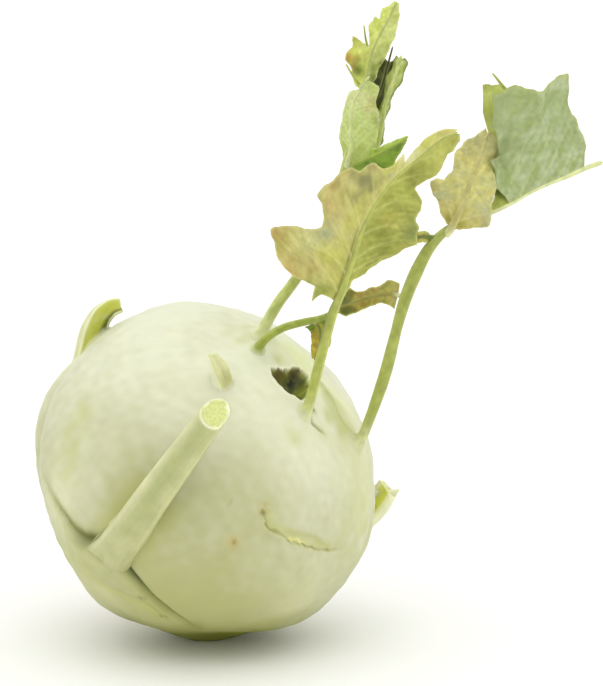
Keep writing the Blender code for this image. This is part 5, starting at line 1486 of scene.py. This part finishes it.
ROLL_LEFT = [
    (0.5, 0.9, 1.0), (5.5, 6.2, 2.7), (11.0, 12.1, 3.5), (15.5, 16.8, 5.0), (20.0, 20.8, 3.4),
    (23.2, 23.9, 1.0),
]
ROLL_RIGHT = [
    (0.5, 0.9, 1.0), (2.2, 2.7, 1.6), (7.0, 7.8, 0.9), (10.5, 11.1, 1.7), (14.5, 15.1, 1.4),
    (18.0, 18.6, 2.3), (22.0, 22.9, 2.2), (23.2, 23.9, 0.6),
]
# A dark sheet with a dark stalk inside the rolled lobes: painted shade where they curl over.
INNER_SHADOW_ROUTE = [(36.0, 2.0, 130.0), (42.0, 8.0, 136.5), (44.0, 9.0, 142.5), (45.5, 9.5, 148.0)]
INNER_SHADOW = [(1.0, 2.0, 1.8), (6.0, 7.0, 2.4), (11.0, 13.0, 3.0), (15.0, 17.5, 4.0), (19.0, 19.8, 1.2)]
TONGUE_ROUTE = [(33.6, -0.4, 118.5), (38.5, -1.0, 121.0), (43.5, -2.5, 123.5), (49.0, -3.5, 127.0)]
TONGUE_FACING = (-0.1, -0.95, 0.3)
TONGUE_HIGH = [(1.0, 2.2, 1.4), (4.5, 5.5, 2.4), (9.0, 9.8, 1.5), (13.0, 13.8, 1.1), (16.8, 17.4, 0.4)]
TONGUE_LOW = [
    (1.0, 1.5, 1.5), (3.5, 4.1, 3.0), (7.5, 8.1, 4.4), (10.0, 10.6, 4.6), (14.5, 15.8, 1.6),
    (16.8, 17.4, 0.4),
]
# Two dried tips that stand up from the panel and the upper lobes.
PANEL_SPIKE = [(37.4, -1.5, 139.0), (35.6, -2.2, 141.5), (33.7, -2.6, 144.6)]
UPPER_SPIKE = [(39.2, 4.2, 148.0), (38.6, 3.8, 150.5), (38.2, 3.6, 153.6)]
PANEL_LOOK = dict(
    base="#bac97c", patch="#adbc68", patch_size=4.0, streak="#c4ce8c", lean=38.0,
    border=("#c8ce8c", 0.4, 0.6), vein=("#c4cc92", 0.4), seed=161, crumple=(0.3, 5.0), puff=0.25,
    blots=[(19.5, 1.0, 3.2, "#c3c88e", 0.8), (16.5, 4.5, 2.2, "#b8b87e", 0.7),
           (3.5, 2.0, 3.0, "#9bab4e", 0.7), (13.5, 7.0, 1.6, "#8a8f40", 0.7),
           (20.0, 5.0, 1.8, "#a8904a", 0.6)],
)
UPPER_LOOK = dict(
    PANEL_LOOK, base="#bfc95e", patch="#afba50", streak="#d2da80", seed=171,
    blots=[(5.5, 2.6, 2.0, "#5f6c14", 0.95), (8.0, 5.8, 1.8, "#a07428", 0.9),
           (12.5, 6.0, 1.6, "#8a8a2c", 0.7), (11.0, 0.7, 2.2, "#bcc268", 0.6),
           (18.0, 2.5, 2.2, "#a9b450", 0.6)],
)
# The upper lobe's folded half: its darkest green blots are painted shade in the fold.
FOLD_LOOK = dict(
    UPPER_LOOK, base="#b4bd6c", patch="#a0ab4e", seed=176,
    blots=[(8.5, 3.6, 2.0, "#3f4c16", 0.9), (4.5, 2.0, 1.8, "#5c6a22", 0.8),
           (13.0, 3.8, 1.4, "#6c7a30", 0.7), (17.0, 1.5, 2.6, "#c6cc84", 0.6)],
)
ROLL_LOOK = dict(
    PANEL_LOOK, base="#a3b058", patch="#84943a", seed=181, border=("#56641e", 0.5, 0.8),
    blots=[(15.0, 4.0, 2.0, "#4a561a", 0.8), (8.0, 1.0, 2.0, "#b9c27c", 0.7),
           (18.0, 1.0, 2.0, "#a9b462", 0.6)],
)
# The dark inner sheet's look: painted shade.
INNER_SHADOW_LOOK = dict(
    PANEL_LOOK, base="#454c1c", patch="#33340f", streak="#59601f", border=("#7c863a", 0.4, 0.5),
    seed=191, blots=[],
)
TONGUE_LOOK = dict(PANEL_LOOK, base="#9ab63e", patch="#86a232", streak="#8ca638", seed=201, blots=[])
TONGUE_SHADY = dict(
    TONGUE_LOOK, base="#6f8c24", patch="#587418", streak="#7f9a2e", seed=206,
    border=("#9ab048", 0.4, 0.6),
)

panel_rib = smooth_route(PANEL_ROUTE)
upper_rib = smooth_route(BACK_ROUTE[9:])
roll_rib = smooth_route(ROLL_ROUTE[1:])
inner_shadow_rib = smooth_route(INNER_SHADOW_ROUTE)
tongue_rib = smooth_route(TONGUE_ROUTE)
leaf_piece("back_leaf_stalk", "leaf_back", [
    rib(BACK_ROUTE, BACK_RADII, BACK_FORWARD, rib_paint("#bcc274", "#9aa84c"), 150, rooted=(1.3, 2.0)),
    rib(PANEL_ROUTE, [0.8, 0.45, 0.35, 0.3], BACK_FORWARD, rib_paint("#ced49a", "#b9c47c"), 50),
    rib(ROLL_ROUTE, [0.7, 0.55, 0.4], BACK_FORWARD, rib_paint("#c3ca84", "#aab65e"), 50),
    # The dark stalk inside the rolled lobes: painted shade.
    rib(INNER_SHADOW_ROUTE, [0.5, 0.35, 0.2], BACK_FORWARD, rib_paint("#4c541c", "#3c4416"), 40),
    rib(TONGUE_ROUTE, [0.7, 0.55, 0.4], TONGUE_FACING, rib_paint("#a3b84c", "#8da63c"), 40),
    rib(PANEL_SPIKE, [0.40, 0.32, 0.16], BACK_FORWARD, rib_paint("#a3ac50", "#8f9a40"), 30),
    rib(UPPER_SPIKE, [0.30, 0.24, 0.14], BACK_FORWARD, rib_paint("#8c9838", "#7a8830"), 30),
], STALK_SKIN)
leaf_piece("back_leaf_panel", "leaf_back", [
    blade(panel_rib, BACK_FORWARD, 1, -40, 0.0, PANEL_LEFT, NO_WAVE, PANEL_LOOK, count=110, columns=26),
    blade(panel_rib, BACK_FORWARD, -1, -12, 0.0, PANEL_RIGHT, (0.3, 9.0, 0.0), PANEL_LOOK, count=110,
          columns=26),
], LEAF_UNDERSIDE)
leaf_piece("back_leaf_upper", "leaf_back", [
    blade(upper_rib, BACK_FORWARD, 1, -20, 1.0, UPPER_LEFT, (0.4, 7.0, 0.0), UPPER_LOOK, count=140,
          columns=28),
    blade(upper_rib, BACK_FORWARD, -1, -20, 0.0, UPPER_RIGHT, NO_WAVE, FOLD_LOOK, count=110, columns=24),
], LEAF_UNDERSIDE)
leaf_piece("back_leaf_roll", "leaf_back", [
    blade(roll_rib, BACK_FORWARD, 1, -60, 0.0, ROLL_LEFT, NO_WAVE, ROLL_LOOK, count=100, columns=24),
    blade(roll_rib, BACK_FORWARD, -1, -35, 0.0, ROLL_RIGHT, NO_WAVE, ROLL_LOOK, count=100, columns=20),
] + [
    # The dark inner sheet: painted shade.
    blade(inner_shadow_rib, BACK_FORWARD, side, -10, 0.0, INNER_SHADOW, NO_WAVE, INNER_SHADOW_LOOK, count=80, columns=20)
    for side in (1, -1)
], LEAF_UNDERSIDE)
leaf_piece("back_leaf_tongue", "leaf_back", [
    blade(tongue_rib, TONGUE_FACING, 1, 10, 0.0, TONGUE_HIGH, NO_WAVE, TONGUE_LOOK, count=80, columns=18),
    blade(tongue_rib, TONGUE_FACING, -1, 10, 0.0, TONGUE_LOW, NO_WAVE, TONGUE_SHADY, count=80, columns=20),
], LEAF_UNDERSIDE)


# ---------------------------------------------------------------- small leaf
# The smallest leaf: a thin green stalk that has fallen over to the right, and a brown, withered
# blade that hangs from it. The stalk is joined to the bulb beside the crown.

SMALL_ROUTE = [
    (12.1, -16.3, 76.0), (13.3, -20.4, 78.7), (15.8, -22.9, 81.4), (19.1, -23.1, 83.1),
    (23.5, -22.0, 84.1), (27.8, -20.3, 84.8), (32.2, -18.4, 86.7),
]
SMALL_RADII = [1.5, 1.15, 1.0, 0.95, 0.9, 0.8, 0.5]
SMALL_FORWARD = (0.0, -1.0, 0.1)
SMALL_BLADE_ROUTE = [
    (25.5, -21.5, 84.3), (27.0, -21.0, 83.0), (27.5, -21.0, 80.5), (27.0, -21.0, 77.5), (26.0, -21.0, 74.5),
]
SMALL_RIGHT = [(1.0, 1.5, 2.6), (2.3, 2.7, 3.2), (4.3, 4.8, 2.8), (7.0, 7.4, 2.2), (10.3, 10.8, 0.5)]
SMALL_LEFT = [
    (0.6, -0.3, 2.5), (2.3, 2.9, 2.5), (3.3, 3.7, 2.6), (6.2, 6.7, 2.0), (8.5, 9.0, 1.6), (10.3, 10.8, 0.5),
]
SMALL_LOOK = dict(
    base="#b3a02e", patch="#8f7c22", patch_size=2.5, streak="#a58a24", border=("#8f9a3c", 0.4, 0.6),
    vein=("#b8b260", 0.4), seed=211, crumple=(0.35, 3.0), puff=0.2,
    blots=[(1.0, 1.5, 1.6, "#4f7a1c", 0.9)],
)

small_rib = smooth_route(SMALL_BLADE_ROUTE)
leaf_piece("small_leaf_stalk", "leaf_small", [
    rib(SMALL_ROUTE, SMALL_RADII, SMALL_FORWARD, rib_paint("#a3ad50", "#84942f"), 90, rooted=(1.2, 1.6)),
    rib(SMALL_BLADE_ROUTE, [0.45, 0.40, 0.30, 0.20], SMALL_FORWARD, rib_paint("#7c7c2a", "#66701f"), 40),
], STALK_SKIN)
leaf_piece("small_leaf_blade", "leaf_small", [
    blade(small_rib, SMALL_FORWARD, side, -15, 0.0, margin, NO_WAVE, SMALL_LOOK, count=60, columns=16)
    for side, margin in ((1, SMALL_RIGHT), (-1, SMALL_LEFT))
], LEAF_UNDERSIDE)


# ---------------------------------------------------------------- studio
# A plain pale floor under an even sky that is a little brighter overhead, with two wide soft
# lamps: a key from high in front on the left, and a weaker fill from low on the right.

# Metres: wide enough that its far edge stays out of the camera's view.
FLOOR_SIZE = 9.0
SKY_OVERHEAD = 1.22
SKY_HORIZON = 1.09


def build_floor():
    """One square at table height."""
    reach = FLOOR_SIZE / 2
    corners = [(-reach, -reach, 0), (reach, -reach, 0), (reach, reach, 0), (-reach, reach, 0)]
    mesh = bpy.data.meshes.new("floor")
    mesh.from_pydata(corners, [], [(0, 1, 2, 3)])
    # Matt paper: plain and pale, so the eye sees only the object's own soft shadow on it.
    material = bpy.data.materials.new("pale_studio_floor")
    material.use_nodes = True
    shader = material.node_tree.nodes["Principled BSDF"]
    shader.inputs["Base Color"].default_value = (*linear("#f1f1ef"), 1)
    shader.inputs["Roughness"].default_value = 0.8
    mesh.materials.append(material)
    floor = bpy.data.objects.new("floor", mesh)
    bpy.context.scene.collection.objects.link(floor)
    return floor


def light_sky(overhead, horizon):
    """World light that climbs from the horizon's strength to the strength overhead."""
    world = bpy.data.worlds.new("studio")
    world.use_nodes = True
    tree = world.node_tree
    background = tree.nodes["Background"]
    place = add_node(tree, "ShaderNodeTexCoord")
    split = add_node(tree, "ShaderNodeSeparateXYZ", {0: place.outputs["Generated"]})
    climb = add_node(tree, "ShaderNodeMapRange",
                     {"Value": split.outputs["Z"], "From Min": 0.0, "From Max": 1.0,
                      "To Min": horizon, "To Max": overhead})
    tree.links.new(climb.outputs["Result"], background.inputs["Strength"])
    background.inputs["Color"].default_value = (1.0, 1.0, 0.985, 1.0)
    bpy.context.scene.world = world


def add_lamp(name, strength, turn, spread):
    """A sun whose rays come from `turn` (degrees round, degrees up) over a disc `spread` wide."""
    data = bpy.data.lights.new(name, "SUN")
    data.energy = strength
    data.angle = math.radians(spread)
    lamp = bpy.data.objects.new(name, data)
    lamp.rotation_euler = (math.radians(90 - turn[1]), 0.0, math.radians(turn[0]))
    bpy.context.scene.collection.objects.link(lamp)


floor = build_floor()
light_sky(SKY_OVERHEAD, SKY_HORIZON)
add_lamp("key", 0.35, (-20.0, 68.0), 50.0)
add_lamp("fill", 0.20, (60.0, 14.0), 60.0)
bpy.context.scene.view_settings.view_transform = "Standard"
